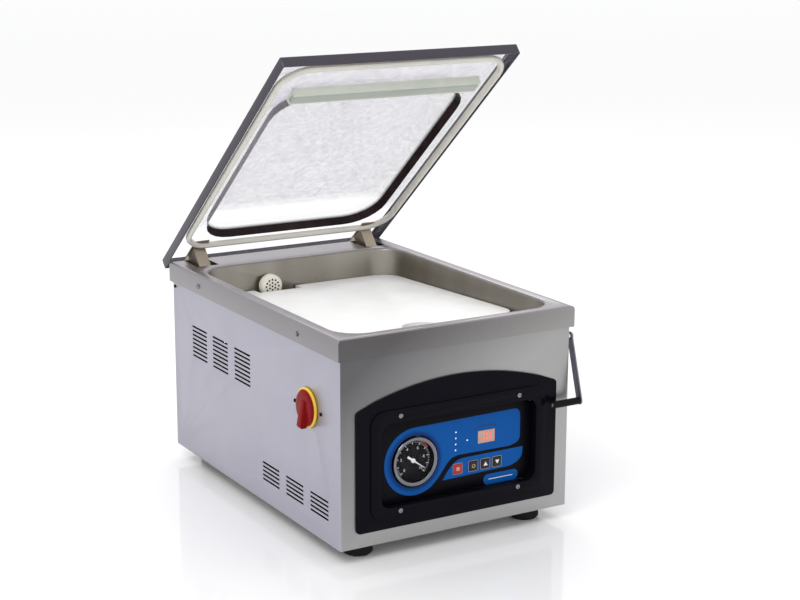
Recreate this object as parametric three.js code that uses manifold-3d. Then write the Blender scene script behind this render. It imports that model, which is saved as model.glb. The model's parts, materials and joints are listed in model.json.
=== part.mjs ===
// Tabletop chamber vacuum sealer, built as an assembly of separate parts.
// Millimetres. +X right, +Y towards the rear, +Z up. The machine is drawn with the front
// face of its deck at y = 0 and the underside of its cabinet at z = 0, and the finished
// assembly is then moved so that it stands on z = 0 with the origin under its middle.
import * as THREE from 'three';
import { mergeVertices } from 'three/addons/utils/BufferGeometryUtils.js';
import Module from 'manifold-3d';

const wasm = await Module();
wasm.setup();

// ---- driving dimensions -------------------------------------------------------------
const gap = 0.3;                 // space left between two parts that touch
const looseFit = 0.4;            // round parts in faceted holes
const deckWidth = 356;
const deckDepth = 515;
const deckTop = 277;             // height of the deck above the cabinet underside
const deckSheet = 1.5;
const skirtHeight = 28;
const deckEdgeRadius = 4;
const bodyInset = 4.4;           // how far the cabinet walls stand inside the deck skirt
const shellSheet = 1.2;
const shellCornerRadius = 3;
const footRadius = 20;
const footHeight = 20;
const footInset = 40;
const footSideInset = 44;
const panSheet = 1.8;
const panRim = 18;

const wellSideLedge = 19;        // flat deck left beside, in front of and behind the well
const wellFrontLedge = 19;
const wellRearLedge = 65;
const wellDepth = 85;
const wellCornerRadius = 38;
const wellLip = 4;               // radius of the rolled rim
const wellTaper = 2;
const wellFloorFillet = 12;

const boardClearance = 3;        // filler boards to well wall
const flatBoardHeight = 22;
const boardFrontHeight = 251;    // top of the sloping board, front and rear
const boardRearHeight = 236;
const boardFront = 95;
const boardCornerRadius = 33;
const portNotchDepth = 21;
const fingerNotchRadius = 27;

const portX = -51;
const portHeight = 242;
const portNeckRadius = 9;
const portNeckBehind = 12;       // neck behind the rear wall of the well
const portCapRadius = 17;
const portCapClearance = 7;      // cap to the side of the boards' notch
const portCapThickness = 11;
const portHoleRadius = 1.6;
const portHoleRings = [[1, 0], [6, 5], [12, 10]];   // count and radius of each ring
const portCapFace = 18;          // stand-off of the cap face from the rear wall

const sealLength = 284;          // seal bar and the pad above it
const sealBarWidth = 16;
const sealBarHeight = 22;
const sealLine = 69;             // distance of the sealing line from the deck front
const sealRestTop = 259.3;
const tapeHeight = 1;
const tapeWidth = 10;
const liftRodRadius = 5;
const liftRodSpacing = 220;
const liftCylinderRadius = 16;
const liftCylinderHeight = 38;
const liftCylinderWall = 3;
const liftPortRadius = 4;

const lidGap = 3.5;              // closed lid skirt to deck
const lidHeight = 15;
const lidSheet = 1.5;
const lidLip = 6;                // turned-over rim on top of the window
const openAngle = 40.3;          // degrees, as the lid stands when open
const windowThickness = 8;
const windowUnderside = 8;       // window underside to closed deck top
const domeRise = 25;
const domeSideMargin = 33;       // skirt to dome opening, sides, front and rear
const domeFrontMargin = 85;
const domeRearMargin = 70;
const domeCornerRadius = 50;
const domeSlope = 22;            // how far the dome walls lean in
const gasketWidth = 8;
const gasketSideInset = 10;      // deck edge to gasket centre line
const gasketFrontInset = 11;
const gasketRearInset = 58;
const gasketCornerRadius = 38;
const padWidth = 26;
const padHeight = 11.5;
const padStripWidth = 14;        // groove in the holder that takes the strip
const padGrooveDepth = 4;

const hingeX = 139;              // centre of each hinge arm
const pivotBack = 15;            // hinge axis in from the deck rear edge
const pivotDrop = 27;            // hinge axis below the deck top
const armWidth = 18;
const armSheet = 2;
const armWebBack = 51.5;         // web to deck rear edge, lid closed
const leafWidth = 23;
const leafLength = 58;
const leafLead = 16;             // leaf ahead of the arm web
const shaftRadius = 4;
const shaftClearance = 0.3;
const armBossRadius = 8;
const slotWidth = 34;
const slotFrontClearance = 1.2;
const slotRearMargin = 5;
const bracketSheet = 2.5;
const springRadius = 5;
const springWire = 1;
const springTurns = 7;
const springSeat = 150;

const bezelWidth = 304;
const bezelBottom = 19;
const bezelSideTop = 179;
const bezelArch = 30;            // rise of the arched top edge
const bezelCorner = 6;
const bezelFlange = 2.1;
const ringWidth = 265;
const ringBottom = 32;
const ringTop = 177;
const ringProud = 3.6;
const ringCornerRadius = 20;
const recessWidth = 236;
const recessBottom = 47.5;
const recessTop = 159.5;
const recessCornerRadius = 14;
const bezelWall = 2;
const panelDepth = 13.1;         // face of the ring back to the printed panel
const filmThickness = 0.5;
const filmInset = 1;             // printed film to recess wall
const panelThickness = 2;
const gaugeX = -61.5;
const gaugeHeight = 99.2;
const gaugeRadius = 33.5;
const gaugeProud = 3;
const gaugeCaseDepth = 24;
const gaugeRimWidth = 4.5;
const gaugeRimDepth = 8;
const needleLength = 21;
const needleTail = 10;
const needleRest = 126;          // degrees clockwise from straight up
const buttonSize = 12.5;
const buttonTravel = 1;
const buttonHeight = 78;
const buttonX = [3.6, 27.8, 46.4, 64.7];
const buttonNames = ['stop_button', 'set_button', 'up_button', 'down_button'];
const displayWidth = 26;
const displayHeight = 17;
const displayX = 47.5;
const displayCentre = 115.5;
const bezelScrewX = 90;
const bezelScrewBottom = 42;
const bezelScrewTop = 168;
const boardThickness = 1.6;
const boardBehindPanel = 8.5;

const switchY = 90;
const switchHeight = 167.7;
const switchPlateRadius = 26.5;
const switchPlateThickness = 3;
const switchBodyRadius = 12;
const switchBodyDepth = 44;
const knobRadius = 24;
const knobBaseThickness = 3;
const knobGripTop = 10;          // top and bottom of the wedge grip, from the knob's axis
const knobGripBottom = 26;
const knobGripWidth = 11;
const knobProudTop = 8;          // how far the grip stands off the wall at its ends
const knobProudBottom = 14;

const latchPivotY = 13;
const latchPivotHeight = 233;
const latchReachForward = 25;    // grip axis from the latch pivot, hanging
const latchReachDown = 83;
const latchBoltRadius = 3;
const latchWasherRadius = 4.5;
const latchStandOff = 5.4;
const latchThickness = 2;
const latchWidth = 11;
const latchGripRadius = 4.8;
const latchPinRadius = 2.8;
const latchGripLength = 43;

const inletX = 118;              // mains inlet in the rear wall
const inletHeight = 60;
const inletWidth = 48;
const inletTall = 30;
const inletDepth = 24;
const socketWidth = 25;
const socketHeight = 17;
const socketDepth = 15;
const pumpX = -45;               // pump, motor and fan share this centre line
const pumpWidth = 110;
const pumpLength = 100;
const pumpRearSpace = 115;       // pump block to deck rear edge
const pumpHeadroom = 54;         // top of the pump to the well floor
const oilBoxDepth = 30;
const pumpInletInset = 20;       // inlet stub in from the pump's rear face
const motorHeight = 78;          // motor axis
const motorRadius = 50;
const motorLength = 128;
const fanDepth = 14;
const fanRadius = 38;
const transformerBox = { x0: 74, x1: 140, length: 72, rearSpace: 253, top: 68 };
const valveBox = { x0: 50, x1: 96, length: 40, rearSpace: 135, top: 40 };
const valveCoilRadius = 15;
const valveCoilTop = 82;
const hoseRadius = 8;

const slotLength = 49;           // ventilation slots
const slotHeight = 2.8;
const upperSlots = { columns: [397, 328, 257.5], top: 196.5, pitch: 6.1, rows: 8 };
const lowerSlots = { columns: [174, 105, 36.5], top: 57, pitch: 5.9, rows: 5 };
const rearSlots = { columns: [-110, -25, 60], top: 190, pitch: 6.1, rows: 8 };

// ---- finishes -----------------------------------------------------------------------
function finish(color, roughness, metalness) {
  return new THREE.MeshStandardMaterial({ color, roughness, metalness });
}
const brushedSteel = finish(0xb2b1ba, 0.35, 1);
const warmSteel = finish(0x9a9285, 0.4, 1);
const darkSteel = finish(0x5c5a66, 0.4, 1);
const chrome = finish(0xe0e0e4, 0.12, 1);
const zincSteel = finish(0xb5b2aa, 0.45, 1);
const springSteel = finish(0x8c8c90, 0.4, 1);
const aluminium = finish(0xc8c9cc, 0.4, 1);
const castIron = finish(0x3c4248, 0.6, 0.6);
const motorPaint = finish(0x51616e, 0.5, 0.1);
const glossBlack = finish(0x0c0c12, 0.12, 0);
const satinBlack = finish(0x15151a, 0.4, 0);
const panelBlue = finish(0x0048a0, 0.3, 0);
const blackRubber = finish(0x131314, 0.8, 0);
const whiteBoard = finish(0xf4f4f2, 0.5, 0);
const offWhite = finish(0xd9d5c6, 0.45, 0);
const gasketRubber = finish(0xd9d3c0, 0.6, 0);
const siliconeStrip = finish(0xd4d9cf, 0.5, 0);
const acrylic = finish(0xe9ecef, 0.08, 0);
acrylic.transparent = true;
acrylic.opacity = 0.35;
const signalRed = finish(0xc3201d, 0.3, 0);
const signalYellow = finish(0xe6c021, 0.4, 0);
const dialBlack = finish(0x101012, 0.5, 0);
const needleWhite = finish(0xf2f2f2, 0.4, 0);
const displayRed = finish(0xe8a79b, 0.3, 0);
const boardGreen = finish(0x1d5c38, 0.5, 0);
const copper = finish(0xa8632f, 0.4, 0.9);
const hoseGrey = finish(0x3a3a3c, 0.7, 0);

// ---- solids -------------------------------------------------------------------------
// Closed geometry with shared corners and no empty triangles.
function tidy(geometry) {
  geometry.deleteAttribute('normal');
  if (geometry.getAttribute('uv')) geometry.deleteAttribute('uv');
  const merged = mergeVertices(geometry, 1e-4);
  const index = merged.index.array;
  const kept = [];
  for (let i = 0; i < index.length; i += 3) {
    const [a, b, c] = [index[i], index[i + 1], index[i + 2]];
    if (a !== b && b !== c && c !== a) kept.push(a, b, c);
  }
  merged.setIndex(kept);
  return merged;
}

function toSolid(geometry) {
  const closed = tidy(geometry);
  return new wasm.Manifold(new wasm.Mesh({
    numProp: 3,
    vertProperties: new Float32Array(closed.attributes.position.array),
    triVerts: new Uint32Array(closed.index.array),
  }));
}

function toGeometry(solid) {
  const mesh = solid.getMesh();
  const geometry = new THREE.BufferGeometry();
  geometry.setAttribute('position', new THREE.BufferAttribute(mesh.vertProperties, 3));
  geometry.setIndex(new THREE.BufferAttribute(mesh.triVerts, 1));
  return geometry;
}

function join(...shapes) {
  return toGeometry(shapes.map(toSolid).reduce((sum, next) => sum.add(next)));
}

function cut(shape, ...tools) {
  return toGeometry(tools.map(toSolid).reduce((left, tool) => left.subtract(tool), toSolid(shape)));
}

function box(x0, x1, y0, y1, z0, z1) {
  const block = new THREE.BoxGeometry(x1 - x0, y1 - y0, z1 - z0);
  return block.translate((x0 + x1) / 2, (y0 + y1) / 2, (z0 + z1) / 2);
}

// Turns a shape drawn in its own XY plane and extruded along its Z.
const alongX = new THREE.Matrix4().makeBasis(
  new THREE.Vector3(0, 1, 0), new THREE.Vector3(0, 0, 1), new THREE.Vector3(1, 0, 0));
const alongY = new THREE.Matrix4().makeBasis(
  new THREE.Vector3(1, 0, 0), new THREE.Vector3(0, 0, 1), new THREE.Vector3(0, -1, 0));

function slab(shape, z0, z1, curveSegments = 6) {
  const depth = z1 - z0;
  return new THREE.ExtrudeGeometry(shape, { depth, bevelEnabled: false, curveSegments })
    .translate(0, 0, z0);
}
// Shape drawn in X and Z, thick from y0 back to y1.
function frontSlab(shape, y0, y1, curveSegments = 6) {
  return slab(shape, 0, y1 - y0, curveSegments).applyMatrix4(alongY).translate(0, y1, 0);
}
// Shape drawn in Y and Z, thick from x0 to x1.
function sideSlab(shape, x0, x1, curveSegments = 6) {
  return slab(shape, 0, x1 - x0, curveSegments).applyMatrix4(alongX).translate(x0, 0, 0);
}

function roundedRect(a0, a1, b0, b1, radius) {
  const shape = new THREE.Shape();
  shape.absarc(a1 - radius, b0 + radius, radius, -Math.PI / 2, 0, false);
  shape.absarc(a1 - radius, b1 - radius, radius, 0, Math.PI / 2, false);
  shape.absarc(a0 + radius, b1 - radius, radius, Math.PI / 2, Math.PI, false);
  shape.absarc(a0 + radius, b0 + radius, radius, Math.PI, Math.PI * 1.5, false);
  return shape;
}

function polygon(points) {
  return new THREE.Shape(points.map(([a, b]) => new THREE.Vector2(a, b)));
}

// Round bars along each axis; the two numbers after the radius place the axis.
function barX(radius, y, z, x0, x1, sides = 16) {
  return new THREE.CylinderGeometry(radius, radius, x1 - x0, sides)
    .rotateZ(Math.PI / 2).translate((x0 + x1) / 2, y, z);
}
function barY(radius, x, z, y0, y1, sides = 16) {
  return new THREE.CylinderGeometry(radius, radius, y1 - y0, sides).translate(x, (y0 + y1) / 2, z);
}
function barZ(radius, x, y, z0, z1, sides = 16) {
  return new THREE.CylinderGeometry(radius, radius, z1 - z0, sides)
    .rotateX(Math.PI / 2).translate(x, y, (z0 + z1) / 2);
}

// Turned part: [radius, height] points that start and end on the axis or close a ring.
// They are taken anticlockwise, so that the faces point out.
function turned(points, sides = 24) {
  const profile = points.map(([r, h]) => new THREE.Vector2(r, h));
  if (THREE.ShapeUtils.area(profile) < 0) profile.reverse();
  return new THREE.LatheGeometry(profile, sides);
}
function turnedZ(points, sides) {
  return turned(points, sides).rotateX(Math.PI / 2);
}

// Outline of a rectangle with rounded corners, as points in order.
function outline(section, cornerSteps = 6) {
  const { x0, x1, y0, y1, radius } = section;
  const corners = [[x1, y0, -0.5], [x1, y1, 0], [x0, y1, 0.5], [x0, y0, 1]];
  const points = [];
  for (const [x, y, turn] of corners) {
    const cx = x === x1 ? x1 - radius : x0 + radius;
    const cy = y === y1 ? y1 - radius : y0 + radius;
    for (let i = 0; i <= cornerSteps; i++) {
      const angle = Math.PI * (turn + 0.5 * i / cornerSteps);
      points.push([cx + radius * Math.cos(angle), cy + radius * Math.sin(angle), section.z]);
    }
  }
  return points;
}

// Skin over a stack of outlines. An open stack gets flat ends, a closed one joins its
// last outline to its first and makes a ring.
function stack(sections, closed = false) {
  const rings = sections.map((section) => outline(section));
  const count = rings[0].length;
  const positions = rings.flat(2);
  const index = [];
  const spans = closed ? rings.length : rings.length - 1;
  for (let ring = 0; ring < spans; ring++) {
    const low = ring * count;
    const high = ((ring + 1) % rings.length) * count;
    for (let i = 0; i < count; i++) {
      const j = (i + 1) % count;
      index.push(low + i, low + j, high + j, low + i, high + j, high + i);
    }
  }
  if (!closed) {
    const top = (rings.length - 1) * count;
    for (let i = 1; i < count - 1; i++) {
      index.push(0, i + 1, i, top, top + i, top + i + 1);
    }
  }
  const geometry = new THREE.BufferGeometry();
  geometry.setAttribute('position', new THREE.Float32BufferAttribute(positions, 3));
  geometry.setAttribute('normal', new THREE.Float32BufferAttribute(positions.length, 3));
  geometry.setIndex(index);
  return geometry;
}

function inset(rect, amount, z) {
  return {
    x0: rect.x0 + amount, x1: rect.x1 - amount, y0: rect.y0 + amount, y1: rect.y1 - amount,
    radius: Math.max(rect.radius - amount, 1), z,
  };
}

function tube(points, radius, steps, sides = 8) {
  const path = new THREE.CatmullRomCurve3(points.map((p) => new THREE.Vector3(...p)));
  const section = new THREE.Shape();
  for (let i = 0; i < sides; i++) {
    const angle = 2 * Math.PI * i / sides;
    const [a, b] = [radius * Math.cos(angle), radius * Math.sin(angle)];
    if (i === 0) section.moveTo(a, b); else section.lineTo(a, b);
  }
  return new THREE.ExtrudeGeometry(section, { steps, bevelEnabled: false, extrudePath: path });
}

const machine = new THREE.Group();
const lid = new THREE.Group();

function part(parent, name, geometry, material) {
  const mesh = new THREE.Mesh(toGeometry(toSolid(geometry)), material);
  mesh.name = name;
  parent.add(mesh);
  return mesh;
}

// ---- places worked out from the driving dimensions -------------------------------------
const halfDeck = deckWidth / 2;
const halfBody = halfDeck - bodyInset;
const bodyFront = bodyInset;
const bodyRear = deckDepth - bodyInset;
const shellTop = deckTop - deckSheet - gap;
const well = {
  x0: -halfDeck + wellSideLedge, x1: halfDeck - wellSideLedge,
  y0: wellFrontLedge, y1: deckDepth - wellRearLedge, radius: wellCornerRadius,
};
const wellFloor = deckTop - wellDepth;
const pivotY = deckDepth - pivotBack;
const pivotZ = deckTop - pivotDrop;
const lidBottom = deckTop + lidGap;
const lidTop = lidBottom + lidHeight;
const windowBottom = deckTop + windowUnderside;
const bezelFace = bodyFront - gap - bezelFlange;
const ringFace = bezelFace - ringProud;
const panelFace = ringFace + panelDepth;
const filmFace = panelFace - gap - filmThickness;
const armWebY = deckDepth - armWebBack;

// ---- cabinet ----------------------------------------------------------------------------
function slotGrid(field, x0, x1) {
  const slots = [];
  for (const y of field.columns) {
    for (let row = 0; row < field.rows; row++) {
      const top = field.top - row * field.pitch;
      slots.push(toSolid(box(x0, x1, y, y + slotLength, top - slotHeight, top)));
    }
  }
  return slots;
}

function cabinetShell() {
  const wrap = slab(roundedRect(-halfBody, halfBody, bodyFront, bodyRear + 20, shellCornerRadius),
    0, shellTop, 3);
  const inside = slab(roundedRect(-halfBody + shellSheet, halfBody - shellSheet,
    bodyFront + shellSheet, bodyRear + 40, shellCornerRadius - shellSheet), -1, shellTop + 1, 3);
  const behind = box(-halfDeck, halfDeck, bodyRear, bodyRear + 40, -1, shellTop + 1);
  const tub = bezelWall + gap;
  const panelHole = frontSlab(roundedRect(-recessWidth / 2 - tub, recessWidth / 2 + tub,
    recessBottom - tub, recessTop + tub, recessCornerRadius + tub), bodyFront - 5, bodyFront + 5);
  const switchHole = barX(switchBodyRadius + gap, switchY, switchHeight,
    -halfBody - 5, -halfBody + 5, 20);
  const latchHole = barX(latchBoltRadius + looseFit, latchPivotY, latchPivotHeight,
    halfBody - 5, halfBody + 5, 12);
  let shell = toSolid(cut(wrap, inside, behind, panelHole, switchHole, latchHole));
  for (const side of [-1, 1]) {
    const wall = side * (halfBody - shellSheet / 2);
    for (const field of [upperSlots, lowerSlots]) {
      for (const slot of slotGrid(field, wall - 2, wall + 2)) shell = shell.subtract(slot);
    }
  }
  return toGeometry(shell);
}

function rearPanel() {
  const half = halfBody - shellSheet - gap;
  const panel = frontSlab(polygon([[-half, panSheet + gap], [half, panSheet + gap],
    [half, shellTop], [-half, shellTop]]), bodyRear - shellSheet, bodyRear);
  const [w, h] = [inletWidth / 2 + gap, inletTall / 2 + gap];
  const inletHole = box(inletX - w, inletX + w, bodyRear - 5, bodyRear + 5,
    inletHeight - h, inletHeight + h);
  let result = toSolid(cut(panel, inletHole));
  for (let row = 0; row < rearSlots.rows; row++) {
    const z = rearSlots.top - row * rearSlots.pitch;
    for (const x of rearSlots.columns) {
      const slot = box(x, x + slotLength, bodyRear - 5, bodyRear + 5, z - slotHeight, z);
      result = result.subtract(toSolid(slot));
    }
  }
  return toGeometry(result);
}

function chamberDeck() {
  const r = deckEdgeRadius;
  const deckRect = { x0: -halfDeck, x1: halfDeck, y0: 0, y1: deckDepth, radius: 1.5 };
  const edge = (angle, size, top) => inset(deckRect, deckInset(angle, size, r),
    top - size + size * Math.sin(angle));
  const bend = [0, 0.25, 0.5].map((turn) => Math.PI * turn);
  const outside = stack([inset(deckRect, 0, deckTop - skirtHeight),
    ...bend.map((angle) => edge(angle, r, deckTop))]);
  const innerRadius = r - deckSheet;
  const inside = stack([inset(deckRect, deckSheet, deckTop - skirtHeight - 1),
    ...bend.map((angle) => edge(angle, innerRadius, deckTop - deckSheet))]);
  const hood = toSolid(outside).subtract(toSolid(inside));

  const fillet = [0, 1 / 3, 2 / 3, 1].map((t) => t * Math.PI / 2);
  const tub = (grow, floor, rim) => stack([
    ...fillet.map((angle) => inset(well,
      wellTaper - grow + wellFloorFillet * (1 - Math.sin(angle)),
      floor + wellFloorFillet * (1 - Math.cos(angle)))),
    ...rim]);
  const outerTub = tub(deckSheet, wellFloor - deckSheet, [
    inset(well, -deckSheet, deckTop - wellLip),
    inset(well, -deckSheet - wellLip, deckTop - deckSheet / 2)]);
  const lip = [0, 0.25, 0.5].map((turn) => inset(well,
    -wellLip * (1 - Math.cos(turn * Math.PI)), deckTop - wellLip + wellLip * Math.sin(turn * Math.PI)));
  const hollow = tub(0, wellFloor, [...lip, inset(well, -wellLip, deckTop + 1)]);
  let deck = hood.add(toSolid(outerTub)).subtract(toSolid(hollow));

  for (const side of [-1, 1]) {
    const x = side * hingeX;
    deck = deck.subtract(toSolid(box(x - slotWidth / 2, x + slotWidth / 2,
      armWebY - slotFrontClearance, deckDepth - slotRearMargin, deckTop - 5, deckTop + 5)));
    deck = deck.subtract(toSolid(barZ(liftPortRadius, side * liftRodSpacing / 2, sealLine,
      wellFloor - 5, wellFloor + 5, 12)));
  }
  deck = deck.subtract(toSolid(barY(portNeckRadius + 2 * gap, portX, portHeight,
    well.y1 - 10, well.y1 + 10, 20)));
  return toGeometry(deck);
}

function deckInset(angle, size, outer) {
  return outer - size * Math.cos(angle);
}

function foot() {
  return turnedZ([[0, 0], [footRadius - 3, 0], [footRadius, 3], [footRadius - 1, footHeight - 4],
    [footRadius - 3, footHeight - gap], [0, footHeight - gap]], 20);
}

function basePan() {
  const half = halfBody - shellSheet - gap;
  const rear = bodyRear - gap;
  const front = bodyFront + shellSheet + gap;
  const blank = slab(roundedRect(-half, half, front, rear + 20, shellCornerRadius), 0, panRim, 3);
  const inside = slab(roundedRect(-half + panSheet, half - panSheet, front + panSheet, rear + 30,
    shellCornerRadius), panSheet, panRim + 2, 3);
  const behind = box(-halfDeck, halfDeck, rear, rear + 40, -1, panRim + 2);
  const panelRoom = box(-halfDeck, halfDeck, rear - shellSheet - gap, rear + 1, panSheet, panRim + 2);
  return cut(blank, inside, behind, panelRoom);
}

part(machine, 'cabinet_shell', cabinetShell(), brushedSteel);
part(machine, 'rear_panel', rearPanel(), brushedSteel);
part(machine, 'base_pan', basePan(), zincSteel);
part(machine, 'chamber_deck', chamberDeck(), brushedSteel);
for (const [end, y] of [['front', footInset], ['rear', deckDepth - footInset]]) {
  for (const [side, x] of [['left', -1], ['right', 1]]) {
    const rubberFoot = part(machine, `foot_${end}_${side}`, foot(), blackRubber);
    rubberFoot.position.set(x * (halfBody - footSideInset), y, -footHeight);
  }
}

// ---- filler boards -----------------------------------------------------------------------
function board(z0, z1, chamfer) {
  const rect = {
    x0: well.x0 + wellTaper + boardClearance, x1: well.x1 - wellTaper - boardClearance,
    y0: boardFront, y1: well.y1 - wellTaper - boardClearance, radius: boardCornerRadius,
  };
  const blank = stack([inset(rect, chamfer, z0), inset(rect, 0, z0 + chamfer + 0.01),
    inset(rect, 0, z1)]);
  const capSide = portCapRadius + portCapClearance;
  const notch = box(portX - capSide, portX + capSide + 20, rect.y1 - portNotchDepth, rect.y1 + 20,
    z0 - 5, z1 + 5);
  const finger = barZ(fingerNotchRadius, 0, boardFront, z0 - 5, z1 + 5, 28);
  return cut(blank, notch, finger);
}

function slopingBoard(z0) {
  const blank = board(z0, boardFrontHeight + 5, 0.5);
  const rear = well.y1;
  const slope = Math.atan2(boardFrontHeight - boardRearHeight, rear - boardFront);
  const above = new THREE.BoxGeometry(deckWidth, 2 * deckDepth, 60).translate(0, 0, 30)
    .rotateX(-slope).translate(0, boardFront, boardFrontHeight);
  return cut(blank, above);
}

const lowBoard = wellFloor + gap;
const topBoard = lowBoard + flatBoardHeight + gap;
part(machine, 'filler_board_lower',
  board(lowBoard, lowBoard + flatBoardHeight, wellFloorFillet - wellTaper), whiteBoard);
part(machine, 'filler_board_top', slopingBoard(topBoard), whiteBoard);

// ---- evacuation port ----------------------------------------------------------------------
function portCap() {
  const face = -portCapFace;
  const back = face + portCapThickness;
  const blank = turned([[0, portNeckBehind], [portNeckRadius - 1, portNeckBehind],
    [portNeckRadius, portNeckBehind - 1], [portNeckRadius, back + 1], [portCapRadius, back],
    [portCapRadius, face + 3], [portCapRadius - 1, face + 1], [portCapRadius - 3, face],
    [0, face]], 20);
  let cap = toSolid(blank);
  for (const [count, radius] of portHoleRings) {
    for (let i = 0; i < count; i++) {
      const angle = 2 * Math.PI * i / count;
      cap = cap.subtract(toSolid(barY(portHoleRadius, radius * Math.sin(angle),
        radius * Math.cos(angle), face - 1, face + 4, 6)));
    }
  }
  return toGeometry(cap);
}
part(machine, 'port_cap', portCap(), offWhite).position.set(portX, well.y1, portHeight);

// ---- seal bar and its two air cylinders -----------------------------------------------------
const sealBar = new THREE.Group();
machine.add(sealBar);
const barTop = sealRestTop - tapeHeight - gap;
const barBottom = barTop - sealBarHeight;
const rodTop = barBottom + 11;
const pistonHeight = wellFloor + 9;

function sealBarBlock() {
  const edge = 2;
  const half = sealBarWidth / 2;
  const profile = polygon([[sealLine - half, barBottom], [sealLine + half, barBottom],
    [sealLine + half, barTop - edge], [sealLine + half - edge, barTop],
    [sealLine - half + edge, barTop], [sealLine - half, barTop - edge]]);
  const holes = [-1, 1].map((side) => barZ(liftRodRadius + gap, side * liftRodSpacing / 2, sealLine,
    barBottom - 5, rodTop + gap, 16));
  return cut(sideSlab(profile, -sealLength / 2, sealLength / 2), ...holes);
}
part(sealBar, 'seal_bar', sealBarBlock(), aluminium);
part(sealBar, 'seal_tape', box(-sealLength / 2 + 3, sealLength / 2 - 3, sealLine - tapeWidth / 2,
  sealLine + tapeWidth / 2, sealRestTop - tapeHeight, sealRestTop), copper);

function liftRod() {
  const piston = liftCylinderRadius - liftCylinderWall - 2 * gap;
  return join(barZ(liftRodRadius - 0.1, 0, 0, pistonHeight, rodTop, 14),
    barZ(piston, 0, 0, pistonHeight - 2, pistonHeight + 3, 14));
}
function liftCylinder() {
  const top = wellFloor + liftCylinderHeight;
  const bore = liftCylinderRadius - liftCylinderWall;
  return turnedZ([[liftPortRadius, wellFloor + 3], [liftPortRadius, wellFloor + gap],
    [liftCylinderRadius, wellFloor + gap], [liftCylinderRadius, top], [liftRodRadius + gap, top],
    [liftRodRadius + gap, top - 4], [bore, top - 4], [bore, wellFloor + 3],
    [liftPortRadius, wellFloor + 3]], 14);
}
for (const [side, sign] of [['left', -1], ['right', 1]]) {
  const x = sign * liftRodSpacing / 2;
  part(sealBar, `lift_rod_${side}`, liftRod(), chrome).position.set(x, sealLine, 0);
  part(machine, `lift_cylinder_${side}`, liftCylinder(), aluminium).position.set(x, sealLine, 0);
}

// ---- control panel --------------------------------------------------------------------------
function archedOutline() {
  const half = bezelWidth / 2;
  const side = half - bezelCorner;
  const archRadius = (half * half + bezelArch * bezelArch) / (2 * bezelArch);
  const archCentre = bezelSideTop + bezelArch - archRadius;
  const shoulder = Math.sqrt((archRadius - bezelCorner) ** 2 - side ** 2);
  const turn = Math.atan2(shoulder, side);
  const low = bezelBottom + bezelCorner;
  const high = archCentre + shoulder;
  const shape = new THREE.Shape();
  shape.absarc(side, low, bezelCorner, -Math.PI / 2, 0, false);
  shape.absarc(side, high, bezelCorner, 0, turn, false);
  shape.absarc(0, archCentre, archRadius, turn, Math.PI - turn, false);
  shape.absarc(-side, high, bezelCorner, Math.PI - turn, Math.PI, false);
  shape.absarc(-side, low, bezelCorner, Math.PI, Math.PI * 1.5, false);
  return shape;
}

function controlBezel() {
  const flange = frontSlab(archedOutline(), bezelFace, bodyFront - gap, 12);
  const half = ringWidth / 2;
  const ring = frontSlab(roundedRect(-half, half, ringBottom, ringTop, ringCornerRadius),
    ringFace, bodyFront - gap);
  const reach = recessWidth / 2;
  const tub = frontSlab(roundedRect(-reach - bezelWall, reach + bezelWall, recessBottom - bezelWall,
    recessTop + bezelWall, recessCornerRadius + bezelWall), ringFace + 1, panelFace + panelThickness);
  const recess = frontSlab(roundedRect(-reach, reach, recessBottom, recessTop, recessCornerRadius),
    ringFace - 1, panelFace + panelThickness + 1);
  const screwHoles = bezelScrewPlaces()
    .map(([x, z]) => barY(2 + looseFit, x, z, ringFace - 1, bodyFront, 8));
  return cut(join(flange, ring, tub), recess, ...screwHoles);
}

function bezelScrewPlaces() {
  return [[-bezelScrewX, bezelScrewTop], [bezelScrewX, bezelScrewTop],
    [-bezelScrewX, bezelScrewBottom], [bezelScrewX, bezelScrewBottom]];
}

function bezelScrew() {
  const head = turned([[0, -1.6], [1.6, -1.6], [3.2, -0.9], [3.6, 0], [2, 0], [2, 4.5], [0, 4.5]], 10);
  const socket = barY(1.2, 0, 0, -3, -0.8, 6);
  return cut(head, socket);
}

function panelSheet(y0, y1, clearance, holeClearance) {
  const reach = recessWidth / 2 - clearance;
  const sheet = frontSlab(roundedRect(-reach, reach, recessBottom + clearance, recessTop - clearance,
    recessCornerRadius - clearance), y0, y1);
  const key = buttonSize / 2 + holeClearance;
  const keyHoles = buttonX.map((x) => box(x - key, x + key, y0 - 1, y1 + 1,
    buttonHeight - key, buttonHeight + key));
  const [w, h] = [displayWidth / 2 + holeClearance, displayHeight / 2 + holeClearance];
  const displayHole = box(displayX - w, displayX + w, y0 - 1, y1 + 1,
    displayCentre - h, displayCentre + h);
  const gaugeHole = barY(gaugeRadius + holeClearance + gap, gaugeX, gaugeHeight, y0 - 1, y1 + 1, 28);
  return cut(sheet, gaugeHole, displayHole, ...keyHoles);
}

part(machine, 'control_bezel', controlBezel(), glossBlack);
part(machine, 'control_panel',
  panelSheet(panelFace, panelFace + panelThickness, looseFit, looseFit), satinBlack);
part(machine, 'panel_film',
  panelSheet(filmFace, filmFace + filmThickness, filmInset, looseFit), panelBlue);
bezelScrewPlaces().forEach(([x, z], i) => {
  part(machine, `bezel_screw_${i + 1}`, bezelScrew(), chrome).position.set(x, ringFace - gap, z);
});

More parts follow.
